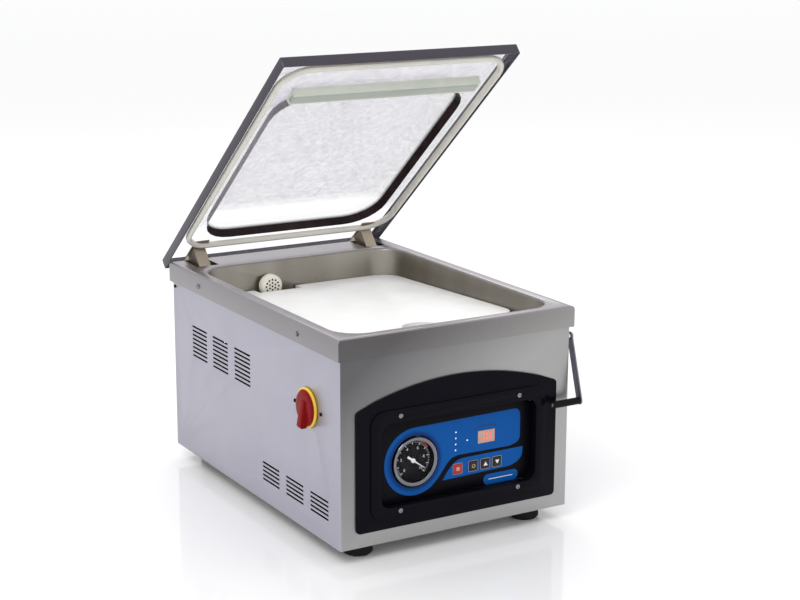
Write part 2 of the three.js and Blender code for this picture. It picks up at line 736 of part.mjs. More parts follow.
// Round vacuum gauge, drawn about its own axis with the panel film at y = 0.
const gauge = new THREE.Group();
gauge.position.set(gaugeX, filmFace, gaugeHeight);
machine.add(gauge);
const gaugeOpening = gaugeRadius - gaugeRimWidth;
const gaugeDiscRadius = gaugeOpening + 1.5;
const glassFront = -gaugeProud + 2.8;
const dialFront = 6;
const gaugeRim = turned([[gaugeOpening - 1, -gaugeProud + 1], [gaugeOpening + 1, -gaugeProud],
  [gaugeRadius - 1, -gaugeProud + 0.4], [gaugeRadius, -gaugeProud + 2],
  [gaugeRadius, gaugeRimDepth], [gaugeOpening + 2, gaugeRimDepth],
  [gaugeOpening + 2, glassFront - gap], [gaugeOpening - 1, glassFront - gap],
  [gaugeOpening - 1, -gaugeProud + 1]], 28);
const caseRadius = gaugeRadius - 2;
const casePlug = caseRadius - 2;
const stemRoot = gaugeCaseDepth + 2;
const stemEnd = gaugeCaseDepth + 14;
const gaugeCase = turned([[0, dialFront + 2], [casePlug, dialFront + 2],
  [casePlug, gaugeRimDepth + gap], [caseRadius, gaugeRimDepth + gap],
  [caseRadius, gaugeCaseDepth], [9, stemRoot], [7, stemEnd], [0, stemEnd]], 24);
part(gauge, 'gauge_rim', gaugeRim, chrome);
part(gauge, 'gauge_case', gaugeCase, darkSteel);
part(gauge, 'gauge_glass', barY(gaugeDiscRadius, 0, 0, glassFront, glassFront + 1.5, 32), acrylic);
part(gauge, 'gauge_dial', barY(gaugeDiscRadius, 0, 0, dialFront, dialFront + 1, 32), dialBlack);

function gaugeNeedle() {
  const blade = frontSlab(polygon([[-1.6, -needleTail], [1.6, -needleTail], [1.2, 0],
    [0.4, needleLength], [-0.4, needleLength], [-1.2, 0]]), 3.6, 4.4);
  return join(blade, barY(3, 0, 0, 3.2, 5.4, 16));
}
const needle = part(gauge, 'gauge_needle', gaugeNeedle(), needleWhite);
needle.rotation.y = THREE.MathUtils.degToRad(needleRest);

const keyBack = filmThickness + gap + panelThickness + gap + 2.3;
function keycap() {
  const half = buttonSize / 2;
  const rim = half + 1.2;
  const face = frontSlab(roundedRect(-half, half, -half, half, 1.5), -1, keyBack, 2);
  const flange = box(-rim, rim, keyBack - 1.5, keyBack, -rim, rim);
  return join(face, flange);
}
buttonNames.forEach((name, i) => {
  const key = part(machine, name, keycap(), i === 0 ? signalRed : satinBlack);
  key.position.set(buttonX[i], filmFace, buttonHeight);
});

const [displayHalf, displayTall] = [displayWidth / 2, displayHeight / 2];
part(machine, 'display_window', box(displayX - displayHalf, displayX + displayHalf,
  filmFace - 0.4, panelFace + panelThickness + 4, displayCentre - displayTall,
  displayCentre + displayTall), displayRed);

function controlBoard() {
  const [x0, x1] = [gaugeX + gaugeRadius + 10, recessWidth / 2 - 10];
  const [z0, z1] = [recessBottom + 6.5, recessTop - 7.5];
  const y0 = panelFace + boardBehindPanel;
  const rear = y0 + boardThickness - 0.6;
  const sheet = box(x0, x1, y0, y0 + boardThickness, z0, z1);
  const switches = buttonX.map((x) => box(x - 3, x + 3, filmFace + keyBack + buttonTravel + gap,
    y0 + 0.5, buttonHeight - 3, buttonHeight + 3));
  const posts = [[x0 + 6, z0 + 6], [x1 - 6, z0 + 6], [x0 + 6, z1 - 6], [x1 - 6, z1 - 6]]
    .map(([x, z]) => barY(3, x, z, panelFace + panelThickness + gap, y0 + 0.5, 10));
  const relay = box(x0 + 18, x0 + 48, rear, rear + 17, z0 + 46, z0 + 76);
  const supply = box(x1 - 48, x1 - 8, rear, rear + 13, z0 + 6, z0 + 31);
  const driver = box(x1 - 58, x1 - 13, rear, rear + 8, z0 + 66, z0 + 78);
  return join(sheet, ...switches, ...posts, relay, supply, driver);
}
part(machine, 'control_board', controlBoard(), boardGreen);

// ---- main switch on the left wall ------------------------------------------------------------
const knob = new THREE.Group();
knob.position.set(-halfBody, switchY, switchHeight);
machine.add(knob);

function switchKnob() {
  const back = -switchPlateThickness - 2 * gap;
  const front = back - knobBaseThickness;
  const base = turned([[0, back], [knobRadius, back], [knobRadius, back - 1],
    [knobRadius - 2, front + 0.5], [knobRadius - 6, front], [0, front]], 32)
    .rotateZ(-Math.PI / 2).rotateX(Math.PI);
  const half = knobGripWidth / 2;
  const grip = frontSlab(polygon([[front + 1, knobGripTop], [-knobProudTop, knobGripTop],
    [-knobProudBottom, 3 - knobGripBottom], [2 - knobProudBottom, -knobGripBottom],
    [back - 1, -knobGripBottom], [back - 1, 0], [front + 1, 0]]), -half, half);
  return join(base, grip);
}
part(knob, 'switch_knob', switchKnob(), signalRed);
const switchPlate = cut(barX(switchPlateRadius, 0, 0, -switchPlateThickness - gap, -gap, 36),
  barX(8, 0, 0, -switchPlateThickness - 1, 1, 16));
part(machine, 'switch_plate', switchPlate, signalYellow).position.copy(knob.position);
const switchBodyTop = wellFloor - deckSheet - 1 - switchHeight;
const switchBody = join(barX(switchBodyRadius, 0, 0, 0.5, 4, 20),
  box(3.5, switchBodyDepth, -22, 22, -24, switchBodyTop));
part(machine, 'switch_body', switchBody, satinBlack).position.copy(knob.position);

// ---- lid latch on the right wall ---------------------------------------------------------------
const latch = new THREE.Group();
latch.position.set(halfBody, latchPivotY, latchPivotHeight);
machine.add(latch);
const strapInner = latchStandOff;
const strapOuter = latchStandOff + latchThickness;

function latchArm() {
  const [dy, dz] = [-latchReachForward, -latchReachDown];
  const reach = Math.hypot(dy, dz);
  const half = latchWidth / 2;
  const across = [half * -dz / reach, half * dy / reach];
  const strap = sideSlab(polygon([[across[0], across[1]], [dy + across[0], dz + across[1]],
    [dy - across[0], dz - across[1]], [-across[0], -across[1]]].reverse()), strapInner, strapOuter);
  const eye = barX(half + 0.5, 0, 0, strapInner, strapOuter, 16);
  const foot = barX(half, dy, dz, strapInner, strapOuter, 16);
  const pin = barX(latchPinRadius, dy, dz, strapInner - latchGripLength - 2, strapInner + 0.5, 12);
  const hole = barX(latchBoltRadius + looseFit, 0, 0, strapInner - 1, strapOuter + 1, 12);
  return cut(join(strap, eye, foot, pin), hole);
}
part(latch, 'latch_arm', latchArm(), darkSteel);
const gripSleeve = cut(barX(latchGripRadius, 0, 0, -latchGripLength, 0, 16),
  barX(latchPinRadius + gap, 0, 0, -latchGripLength - 1, 1, 12));
part(latch, 'latch_grip', gripSleeve, blackRubber)
  .position.set(strapInner - gap, -latchReachForward, -latchReachDown);
const latchBolt = join(barX(latchBoltRadius, 0, 0, -10, strapOuter + 1, 12),
  barX(latchWasherRadius, 0, 0, gap, strapInner - gap, 12),
  barX(latchWasherRadius, 0, 0, strapOuter + gap, strapOuter + 3, 6));
part(machine, 'latch_bolt', latchBolt, chrome).position.copy(latch.position);

// ---- lid: drawn closed, then opened about the hinge axis -----------------------------------------
const lidContents = new THREE.Group();
lidContents.position.set(0, -pivotY, -pivotZ);
lid.add(lidContents);
lid.position.set(0, pivotY, pivotZ);
lid.rotation.x = -THREE.MathUtils.degToRad(openAngle);
machine.add(lid);

function lidFrame() {
  const rect = { x0: -halfDeck, x1: halfDeck, y0: 0, y1: deckDepth, radius: 1.5 };
  const block = stack([inset(rect, 0, lidBottom), inset(rect, 0, lidTop - 1), inset(rect, 1, lidTop)]);
  const bore = stack([inset(rect, lidSheet, lidBottom - 1), inset(rect, lidSheet, lidTop - lidSheet)]);
  const lipEdge = { ...rect, x0: rect.x0 + lidLip, x1: rect.x1 - lidLip, y0: lidLip,
    y1: deckDepth - lidSheet };
  const opening = stack([inset(lipEdge, 0, lidBottom), inset(lipEdge, 0, lidTop + 1)]);
  return cut(block, bore, opening);
}

function lidWindow() {
  const edge = lidSheet + gap;
  const sheet = {
    x0: -halfDeck + edge, x1: halfDeck - edge, y0: edge, y1: deckDepth - edge, radius: 1.2,
  };
  const opening = {
    x0: -halfDeck + domeSideMargin, x1: halfDeck - domeSideMargin,
    y0: domeFrontMargin, y1: deckDepth - domeRearMargin, radius: domeCornerRadius,
  };
  const top = windowBottom + windowThickness;
  const plate = stack([inset(sheet, 0, windowBottom), inset(sheet, 0, top)]);
  const steps = [0, 0.3, 0.6, 0.85, 1];
  const wall = (grow, z, rise) => steps.map((t) => inset(opening,
    -grow + domeSlope * (1 - Math.cos(t * Math.PI / 2)), z + rise * Math.sin(t * Math.PI / 2)));
  const outside = stack([inset(opening, -windowThickness, windowBottom + 1),
    ...wall(windowThickness, top, domeRise)]);
  const inside = stack([inset(opening, -2, windowBottom - 1), ...wall(0, windowBottom + 2, domeRise - 2)]);
  return cut(join(plate, outside), inside);
}

const leafTop = windowBottom - gap;
const leafBottom = leafTop - armSheet;

function lidGasket() {
  const mid = {
    x0: -halfDeck + gasketSideInset, x1: halfDeck - gasketSideInset,
    y0: gasketFrontInset, y1: deckDepth - gasketRearInset, radius: gasketCornerRadius,
  };
  const half = gasketWidth / 2;
  const foot = windowBottom - gap;
  const lipEnd = deckTop + gap + 0.1;
  const profile = [[half, foot], [half, foot - 4], [1.6, lipEnd], [-1.6, lipEnd],
    [-half, foot - 4], [-half, foot]];
  const ring = stack(profile.map(([offset, z]) => inset(mid, -offset, z)).reverse(), true);
  const reach = leafWidth / 2 + gap;
  const leaves = [-1, 1].map((side) => box(side * hingeX - reach, side * hingeX + reach,
    armWebY - leafLead - gap, deckDepth, leafBottom - gap, windowBottom + 1));
  return cut(ring, ...leaves);
}

const padTop = windowBottom - gap;
const padBottom = padTop - padHeight;
const padGroove = padStripWidth / 2;
const padGrooveTop = padTop - padGrooveDepth;

function padHolder() {
  const half = padWidth / 2;
  const foot = padBottom + 1;
  const profile = polygon([[sealLine - half, padTop], [sealLine - half + 3, foot],
    [sealLine - padGroove, foot], [sealLine - padGroove, padGrooveTop],
    [sealLine + padGroove, padGrooveTop], [sealLine + padGroove, foot],
    [sealLine + half - 3, foot], [sealLine + half, padTop]].reverse());
  return sideSlab(profile, -sealLength / 2, sealLength / 2);
}
function padStrip() {
  const half = padGroove - gap;
  const back = padGrooveTop - gap;
  const profile = polygon([[sealLine - half, back], [sealLine - half, padBottom + 1],
    [sealLine - half + 2, padBottom], [sealLine + half - 2, padBottom],
    [sealLine + half, padBottom + 1], [sealLine + half, back]].reverse());
  return sideSlab(profile, -sealLength / 2 + 2, sealLength / 2 - 2);
}

function hingeArm(x) {
  const rear = pivotY;
  const foot = pivotZ - 10;
  const side = polygon([[armWebY, foot], [rear, pivotZ - armBossRadius], [rear + 6, pivotZ + 5.2],
    [rear - 10.8, pivotZ + 24.6], [rear - 12, leafBottom + 0.5], [armWebY, leafBottom + 0.5]]);
  const half = armWidth / 2;
  const leafFront = armWebY - leafLead;
  const leaf = box(x - leafWidth / 2, x + leafWidth / 2, leafFront, leafFront + leafLength,
    leafBottom, leafTop);
  const web = box(x - half, x + half, armWebY, armWebY + armSheet, foot, leafBottom + 0.5);
  const seat = box(x - half, x + half, armWebY, armWebY + 13, foot, foot + armSheet);
  const cheeks = [-1, 1].map((s) => {
    const outer = x + s * half;
    const inner = outer - s * armSheet;
    const [a, b] = [Math.min(outer, inner), Math.max(outer, inner)];
    return join(sideSlab(side, a, b), barX(armBossRadius, pivotY, pivotZ, a, b, 16));
  });
  const bore = barX(shaftRadius + shaftClearance, pivotY, pivotZ, x - half - 1, x + half + 1, 16);
  return cut(join(leaf, web, seat, ...cheeks), bore);
}

part(lidContents, 'lid_frame', lidFrame(), darkSteel);
part(lidContents, 'lid_window', lidWindow(), acrylic);
part(lidContents, 'lid_gasket', lidGasket(), gasketRubber);
part(lidContents, 'pad_holder', padHolder(), siliconeStrip);
part(lidContents, 'pad_strip', padStrip(), siliconeStrip);
part(lidContents, 'hinge_arm_left', hingeArm(-hingeX), zincSteel);
part(lidContents, 'hinge_arm_right', hingeArm(hingeX), zincSteel);

// ---- hinge shaft, brackets and lid springs, fixed inside the cabinet -------------------------------
const bracketInner = slotWidth / 2 + 1;
const bracketOuter = bracketInner + bracketSheet;
const shaftEnd = hingeX + bracketOuter + 3;
part(machine, 'hinge_shaft', barX(shaftRadius, pivotY, pivotZ, -shaftEnd, shaftEnd, 16), chrome);

function hingeBracket(x) {
  const rear = bodyRear - shellSheet - gap;
  const front = armWebY - 6;
  const top = deckTop - deckSheet - gap;
  const cheek = polygon([[front, springSeat - 2], [rear, springSeat - 2], [rear, top],
    [pivotY - 14, top], [pivotY - 14, pivotZ - 30], [front, springSeat + 14]]);
  const cheeks = [-1, 1].map((s) => {
    const [a, b] = [x + s * bracketInner, x + s * bracketOuter];
    return sideSlab(cheek, Math.min(a, b), Math.max(a, b));
  });
  const shelf = box(x - bracketInner - 1, x + bracketInner + 1, front, rear,
    springSeat - 2, springSeat);
  const bore = barX(shaftRadius + shaftClearance, pivotY, pivotZ, x - bracketOuter - 1,
    x + bracketOuter + 1, 16);
  return cut(join(shelf, ...cheeks), bore);
}

function lidSpring(x) {
  const opened = THREE.MathUtils.degToRad(openAngle);
  const [dy, dz] = [armWebY + 6 - pivotY, -10];
  const seatY = pivotY + dy * Math.cos(opened) + dz * Math.sin(opened);
  const seatZ = pivotZ - dy * Math.sin(opened) + dz * Math.cos(opened) - 6;
  const low = springSeat + springWire + gap;
  const points = [];
  const steps = springTurns * 7;
  for (let i = 0; i <= steps; i++) {
    const angle = 2 * Math.PI * springTurns * i / steps;
    points.push([x + springRadius * Math.cos(angle), seatY + springRadius * Math.sin(angle),
      low + (seatZ - low) * i / steps]);
  }
  return tube(points, springWire, steps, 4);
}
for (const [side, sign] of [['left', -1], ['right', 1]]) {
  part(machine, `hinge_bracket_${side}`, hingeBracket(sign * hingeX), zincSteel);
  part(machine, `lid_spring_${side}`, lidSpring(sign * hingeX), springSteel);
}

// ---- vacuum and electrical parts in the lower cabinet ----------------------------------------------
const floorTop = panSheet + gap;
const pumpRear = deckDepth - pumpRearSpace;
const pumpFront = pumpRear - pumpLength;
const pumpTop = wellFloor - pumpHeadroom;
const pumpInletY = pumpRear - pumpInletInset;
const motorFront = pumpFront - motorLength;
const pumpFoot = 8;              // half the width of a mounting foot
const pumpInletTop = pumpTop + 12;
const motorShaftRadius = 5;

function vacuumPump() {
  const half = pumpWidth / 2;
  const block = box(pumpX - half, pumpX + half, pumpFront, pumpRear, panRim, pumpTop);
  const oilBox = box(pumpX - half + 5, pumpX + half - 5, pumpRear - 1, pumpRear + oilBoxDepth,
    panRim + 6, pumpTop - 18);
  const feet = [[-1, pumpFront + 10], [1, pumpFront + 10], [-1, pumpRear - 10], [1, pumpRear - 10]]
    .map(([side, y]) => {
      const x = pumpX + side * (half - pumpFoot + 1);
      return box(x - pumpFoot, x + pumpFoot, y - pumpFoot, y + pumpFoot, floorTop, panRim + 1);
    });
  const inletStub = barZ(7, pumpX, pumpInletY, pumpTop - 1, pumpInletTop, 16);
  return join(block, oilBox, inletStub, ...feet);
}
function pumpMotor() {
  const ribs = [];
  for (let i = 0; i < 4; i++) {
    const y = motorFront + 14 + i * 28;
    ribs.push(barY(motorRadius + 4, pumpX, motorHeight, y, y + 8, 20));
  }
  const shell = barY(motorRadius, pumpX, motorHeight, motorFront, pumpFront - gap, 20);
  const shaft = barY(motorShaftRadius, pumpX, motorHeight, motorFront - 22, motorFront + 1, 12);
  const foot = box(pumpX - motorRadius + 8, pumpX + motorRadius - 8, motorFront + 18,
    pumpFront - 18, floorTop, motorHeight - motorRadius + 6);
  return join(shell, shaft, foot, ...ribs);
}
function motorFan() {
  const blades = [];
  for (let i = 0; i < 6; i++) {
    blades.push(box(-2, 2, 0, fanDepth, 8, fanRadius).rotateY(i * Math.PI / 3));
  }
  const hub = barY(11, 0, 0, 0, fanDepth, 20);
  return cut(join(hub, ...blades), barY(motorShaftRadius + 2 * gap, 0, 0, -1, fanDepth + 1, 14));
}
part(machine, 'vacuum_pump', vacuumPump(), castIron);
part(machine, 'pump_motor', pumpMotor(), motorPaint);
part(machine, 'motor_fan', motorFan(), satinBlack)
  .position.set(pumpX, motorFront - fanDepth - 6, motorHeight);

function transformer() {
  const { x0, x1, length, rearSpace, top } = transformerBox;
  const y1 = deckDepth - rearSpace;
  const y0 = y1 - length;
  const core = box(x0, x1, y0, y1, floorTop, top);
  const coil = box(x0 - 12, x1 + 12, y0 + 14, y1 - 14, 14, top - 12);
  const windings = [0, 1, 2].map((i) => box(x0 - 14, x1 + 14, y0 + 18 + i * 14, y0 + 26 + i * 14,
    12, top - 10));
  return join(core, coil, ...windings);
}
part(machine, 'transformer', transformer(), copper);

function solenoidValve() {
  const { x0, x1, length, rearSpace, top } = valveBox;
  const y1 = deckDepth - rearSpace;
  const y0 = y1 - length;
  const [x, y] = [(x0 + x1) / 2, (y0 + y1) / 2];
  const block = box(x0, x1, y0, y1, floorTop, top);
  const coil = barZ(valveCoilRadius, x, y, top - 1, valveCoilTop, 20);
  const port = barX(6, y, top / 2 + 2, x1 - 1, x1 + 16, 12);
  return join(block, coil, port);
}
part(machine, 'solenoid_valve', solenoidValve(), aluminium);

function vacuumHose() {
  const start = well.y1 + portNeckBehind + gap;
  const points = [[portX, start, portHeight], [portX, start + 9, portHeight],
    [portX, start + 21, portHeight - 7], [portX, start + 26, portHeight - 26],
    [portX, start + 22, portHeight - 56], [portX + 1, start - 2, portHeight - 70],
    [portX + 4, pumpInletY + 30, pumpInletTop + 22], [pumpX, pumpInletY + 6, pumpInletTop + 19],
    [pumpX, pumpInletY, pumpInletTop + 9], [pumpX, pumpInletY, pumpInletTop + gap]];
  return tube(points, hoseRadius, 24, 7);
}
part(machine, 'vacuum_hose', vacuumHose(), hoseGrey);

function powerInlet() {
  const [w, h] = [inletWidth / 2, inletTall / 2];
  const flange = box(inletX - w - 3, inletX + w + 3, bodyRear + gap, bodyRear + 3,
    inletHeight - h - 3, inletHeight + h + 3);
  const block = box(inletX - w, inletX + w, bodyRear - inletDepth, bodyRear + 1,
    inletHeight - h, inletHeight + h);
  const [a, b] = [socketWidth / 2, socketHeight / 2];
  const bevel = 5;
  const socket = frontSlab(polygon([[-a, -b], [a, -b], [a, b - bevel], [a - bevel, b],
    [bevel - a, b], [-a, b - bevel]]), bodyRear - socketDepth, bodyRear + 5)
    .translate(inletX, 0, inletHeight);
  return cut(join(flange, block), socket);
}
part(machine, 'power_inlet', powerInlet(), satinBlack);

// ---- stand the machine on z = 0 with the origin under the middle of its box ---------------------------
machine.updateMatrixWorld(true);
const bounds = new THREE.Box3().setFromObject(machine, true);
const middle = bounds.getCenter(new THREE.Vector3());
machine.position.set(-Math.round(middle.x), -Math.round(middle.y), footHeight);

const group = new THREE.Group();
group.add(machine);
export default group;
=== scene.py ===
"""Tabletop chamber vacuum sealer: finishes, printed panel, gauge face and small hardware around the
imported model, with a pale studio floor. Metres, +X right, +Y to the rear, +Z up."""

import json
from math import cos, pi, radians, sin

import bpy
from mathutils import Matrix, Vector

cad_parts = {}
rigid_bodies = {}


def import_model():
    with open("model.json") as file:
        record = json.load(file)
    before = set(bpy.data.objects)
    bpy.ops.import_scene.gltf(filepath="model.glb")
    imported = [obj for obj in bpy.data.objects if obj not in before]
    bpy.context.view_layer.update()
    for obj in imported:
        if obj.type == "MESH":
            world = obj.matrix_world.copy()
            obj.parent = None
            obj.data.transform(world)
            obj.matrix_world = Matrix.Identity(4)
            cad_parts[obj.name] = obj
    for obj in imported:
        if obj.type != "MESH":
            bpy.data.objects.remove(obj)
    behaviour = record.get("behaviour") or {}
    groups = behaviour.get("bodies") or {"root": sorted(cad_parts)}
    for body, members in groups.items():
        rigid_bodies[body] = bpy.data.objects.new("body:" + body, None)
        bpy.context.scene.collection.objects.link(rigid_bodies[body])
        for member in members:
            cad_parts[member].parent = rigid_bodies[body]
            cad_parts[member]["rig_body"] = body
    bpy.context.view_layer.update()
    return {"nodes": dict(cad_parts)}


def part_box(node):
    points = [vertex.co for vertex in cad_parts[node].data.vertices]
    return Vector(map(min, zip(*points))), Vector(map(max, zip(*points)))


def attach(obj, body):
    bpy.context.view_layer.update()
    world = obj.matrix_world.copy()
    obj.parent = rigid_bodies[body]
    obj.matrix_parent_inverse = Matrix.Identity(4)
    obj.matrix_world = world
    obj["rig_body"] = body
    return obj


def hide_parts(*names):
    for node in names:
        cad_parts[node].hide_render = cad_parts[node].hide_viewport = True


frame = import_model()
nodes = frame["nodes"]
scene = bpy.context.scene

MM = 0.001
PRINT_HEIGHT = 0.08 * MM  # how far a printed mark stands off its surface
LID_ANGLE = radians(40.3)  # the lid stands this far open
BEND_PAINTED_DARK = 11  # millimetres up the dome's wall painted near black as shade, where it looks dark through the thick bend
RECESS_INSET = 0.18 * MM  # taper at the foot of a screw's drive recess
SHUT = Matrix.Rotation(LID_ANGLE, 3, "X")  # turns the open lid shut

film_low, film_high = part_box("panel_film")
film_middle = (film_low + film_high) / 2
glass_low, glass_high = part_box("gauge_glass")
gauge_middle = (glass_low + glass_high) / 2
dial_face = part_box("gauge_dial")[0].y
deck_low, deck_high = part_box("chamber_deck")
body_low, body_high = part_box("cabinet_shell")
shaft_low, shaft_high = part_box("hinge_shaft")
hinge_axis = (shaft_low + shaft_high) / 2


# ---- object handling --------------------------------------------------------------------
def select_only(piece):
    bpy.ops.object.select_all(action="DESELECT")
    piece.select_set(True)
    bpy.context.view_layer.objects.active = piece


def edit(piece):
    select_only(piece)
    bpy.ops.object.mode_set(mode="EDIT")
    bpy.ops.mesh.select_all(action="SELECT")


def leave_edit():
    bpy.ops.object.mode_set(mode="OBJECT")


def settle(piece):
    """Put the piece's place and turn into its mesh."""
    select_only(piece)
    bpy.ops.object.transform_apply(location=True, rotation=True, scale=True)


def round_edges(piece, width, segments=2, angle=30):
    select_only(piece)
    bevel = piece.modifiers.new("edge", "BEVEL")
    bevel.width = width
    bevel.segments = segments
    bevel.limit_method = "ANGLE"
    bevel.angle_limit = radians(angle)
    bevel.use_clamp_overlap = True
    bpy.ops.object.modifier_apply(modifier=bevel.name)


def smooth(piece, angle=35):
    select_only(piece)
    bpy.ops.object.shade_smooth_by_angle(angle=radians(angle))


def give(piece, material, body):
    """Finish, body and material slot of a piece that is in place."""
    piece.data.materials.clear()
    piece.data.materials.append(material)
    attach(piece, body)
    return piece


def dress(name, material, edge=0.3 * MM, angle=35):
    """A machined and deburred copy of a CAD part: one skin, eased edges, smooth curves."""
    piece = bpy.data.objects.new(name + "_finished", nodes[name].data.copy())
    scene.collection.objects.link(piece)
    edit(piece)
    bpy.ops.mesh.remove_doubles(threshold=0.005 * MM)
    bpy.ops.mesh.dissolve_limited(angle_limit=radians(0.3))
    leave_edit()
    if piece.data.has_custom_normals:
        bpy.ops.mesh.customdata_custom_splitnormals_clear()
    if edge:
        round_edges(piece, edge)
    smooth(piece, angle)
    give(piece, material, nodes[name]["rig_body"])
    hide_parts(name)
    return piece


def paint(name, material):
    """A new finish on a CAD part that keeps its own mesh."""
    nodes[name].material_slots[0].material = material


# ---- finishes ---------------------------------------------------------------------------
class Finish:
    """A material being mixed: its shader, its nodes and the piece's own coordinates."""

    def __init__(self, name, colour, roughness, metallic=0.0, specular=0.5):
        self.material = bpy.data.materials.new(name)
        self.material.use_nodes = True
        self.tree = self.material.node_tree
        self.shader = self.tree.nodes["Principled BSDF"]
        self.set("Base Color", (*colour, 1))
        self.set("Roughness", roughness)
        self.set("Metallic", metallic)
        self.set("Specular IOR Level", specular)
        self.object = self.node("ShaderNodeTexCoord").outputs["Object"]

    def node(self, kind, **settings):
        made = self.tree.nodes.new(kind)
        for key, value in settings.items():
            setattr(made, key, value)
        return made

    def link(self, source, target):
        self.tree.links.new(source, target)

    def set(self, socket, value):
        self.shader.inputs[socket].default_value = value

    def placed(self, scale=(1, 1, 1), turn=(0, 0, 0), move=(0, 0, 0)):
        """The piece's coordinates in millimetres, stretched, turned and moved."""
        mapping = self.node("ShaderNodeMapping")
        mapping.inputs["Scale"].default_value = [s * 1000 for s in scale]
        mapping.inputs["Rotation"].default_value = turn
        mapping.inputs["Location"].default_value = move
        self.link(self.object, mapping.inputs["Vector"])
        return mapping.outputs["Vector"]

    def noise(self, size, stretch=(1, 1, 1), detail=3.0, rough=0.55, distortion=0.0, turn=(0, 0, 0)):
        """Cloudy noise with features of the given size in millimetres."""
        texture = self.node("ShaderNodeTexNoise")
        texture.inputs["Scale"].default_value = 1.0 / size
        texture.inputs["Detail"].default_value = detail
        texture.inputs["Roughness"].default_value = rough
        texture.inputs["Distortion"].default_value = distortion
        self.link(self.placed(stretch, turn), texture.inputs["Vector"])
        return texture.outputs["Fac"]

    def spread(self, source, low, high, near=0.35, far=0.65):
        """A value or a colour that runs from low to high as the source goes from near to far."""
        if isinstance(low, tuple):
            ramp = self.node("ShaderNodeValToRGB")
            ramp.color_ramp.elements[0].position = near
            ramp.color_ramp.elements[1].position = far
            ramp.color_ramp.elements[0].color = (*low, 1)
            ramp.color_ramp.elements[1].color = (*high, 1)
            self.link(source, ramp.inputs["Fac"])
            return ramp.outputs["Color"]
        step = self.node("ShaderNodeMapRange")
        step.inputs["From Min"].default_value = near
        step.inputs["From Max"].default_value = far
        step.inputs["To Min"].default_value = low
        step.inputs["To Max"].default_value = high
        self.link(source, step.inputs["Value"])
        return step.outputs["Result"]

    def mix(self, factor, first, second):
        blend = self.node("ShaderNodeMix", data_type="RGBA")
        for socket, value in ((0, factor), (6, first), (7, second)):
            if isinstance(value, tuple):
                blend.inputs[socket].default_value = (*value, 1)
            elif isinstance(value, float):
                blend.inputs[socket].default_value = value
            else:
                self.link(value, blend.inputs[socket])
        return blend.outputs[2]

    def maths(self, operation, first, second=0.0, third=0.0):
        step = self.node("ShaderNodeMath", operation=operation)
        for socket, value in enumerate((first, second, third)):
            if isinstance(value, (int, float)):
                step.inputs[socket].default_value = value
            else:
                self.link(value, step.inputs[socket])
        return step.outputs[0]

    def axes(self, vector):
        split = self.node("ShaderNodeSeparateXYZ")
        self.link(vector, split.inputs[0])
        return split.outputs

    def colour(self, source):
        self.link(source, self.shader.inputs["Base Color"])

    def roughness(self, source):
        self.link(source, self.shader.inputs["Roughness"])

    def bump(self, source, depth, strength=1.0):
        """Relief of the given depth in millimetres."""
        relief = self.node("ShaderNodeBump")
        relief.inputs["Strength"].default_value = strength
        relief.inputs["Distance"].default_value = depth * MM
        self.link(source, relief.inputs["Height"])
        self.link(relief.outputs["Normal"], self.shader.inputs["Normal"])


def shade(colour, factor):
    return tuple(min(1.0, c * factor) for c in colour)


def brushed(name, colour, roughness=0.3, grain=(0.02, 0.02, 1), line=0.35, contrast=0.1):
    """Brushed sheet: long fine lines, faint clouding and a few smears from handling."""
    made = Finish(name, colour, roughness, metallic=1.0)
    lines = made.noise(line, grain, detail=4, rough=0.7)
    clouds = made.noise(160, detail=1)
    tone = made.spread(lines, shade(colour, 1 - contrast), shade(colour, 1 + contrast), 0.3, 0.7)
    cloudy = made.spread(clouds, shade(colour, 0.97), shade(colour, 1.02), 0.3, 0.7)
    made.colour(made.mix(0.4, tone, cloudy))
    smear = made.noise(70, (1, 1, 0.6), detail=2)
    both = made.maths("ADD", made.spread(lines, -0.03, 0.03, 0.3, 0.7),
                      made.spread(smear, roughness - 0.01, roughness + 0.03))
    made.roughness(both)
    made.bump(lines, 0.006, 0.2)
    return made


def moulded(name, colour, roughness, specular=0.4, speckle=0.6, depth=0.02, contrast=0.08):
    """Moulded plastic or rubber: fine surface texture, slight clouding, uneven sheen."""
    made = Finish(name, colour, roughness, specular=specular)
    fine = made.noise(speckle, detail=3)
    broad = made.noise(30, detail=3)
    made.colour(made.spread(broad, shade(colour, 1 - contrast), shade(colour, 1 + contrast), 0.3, 0.7))
    made.roughness(made.spread(broad, roughness * 0.85, min(1.0, roughness * 1.15), 0.3, 0.7))
    made.bump(fine, depth, 0.4)
    return made


def cast_or_turned(name, colour, roughness, metallic=1.0, size=1.5, depth=0.03, wear=0.15):
    """Cast, plated or turned metal: speckled tone, worn patches and a fine tooth."""
    made = Finish(name, colour, roughness, metallic=metallic)
    tooth = made.noise(size, detail=4)
    patch = made.noise(12, detail=4, distortion=0.4)
    tone = made.spread(tooth, shade(colour, 1 - wear), shade(colour, 1 + wear), 0.3, 0.7)
    worn = made.spread(patch, shade(colour, 0.85), shade(colour, 1.08), 0.35, 0.7)
    made.colour(made.mix(0.5, tone, worn))
    made.roughness(made.spread(patch, roughness * 0.8, min(1.0, roughness * 1.25), 0.3, 0.7))
    made.bump(tooth, depth, 0.4)
    return made


def front_painted_shade(made, plain, painted_dark, clear, amount):
    """Front faces given painted shade towards their upper left and a painted highlight towards the lower
    right, blended into the plain colour by the amount.
    """
    normal = made.axes(made.node("ShaderNodeNewGeometry").outputs["Normal"])
    facing = made.maths("LESS_THAN", normal[1], -0.7)
    x, y, z = made.axes(made.placed())
    low, high = body_low / MM, body_high / MM
    across = made.maths("DIVIDE", made.maths("SUBTRACT", x, low.x), high.x - low.x)
    up = made.maths("DIVIDE", made.maths("SUBTRACT", z, low.z), high.z - low.z)
    # runs from the painted shade at the upper left to the painted highlight at the lower right
    shade_run = made.maths("SUBTRACT", made.maths("ADD", across, 0.75), up)
    front = made.spread(shade_run, painted_dark, clear, -0.25, 0.8)
    return made.mix(facing, plain, made.mix(amount, front, plain))


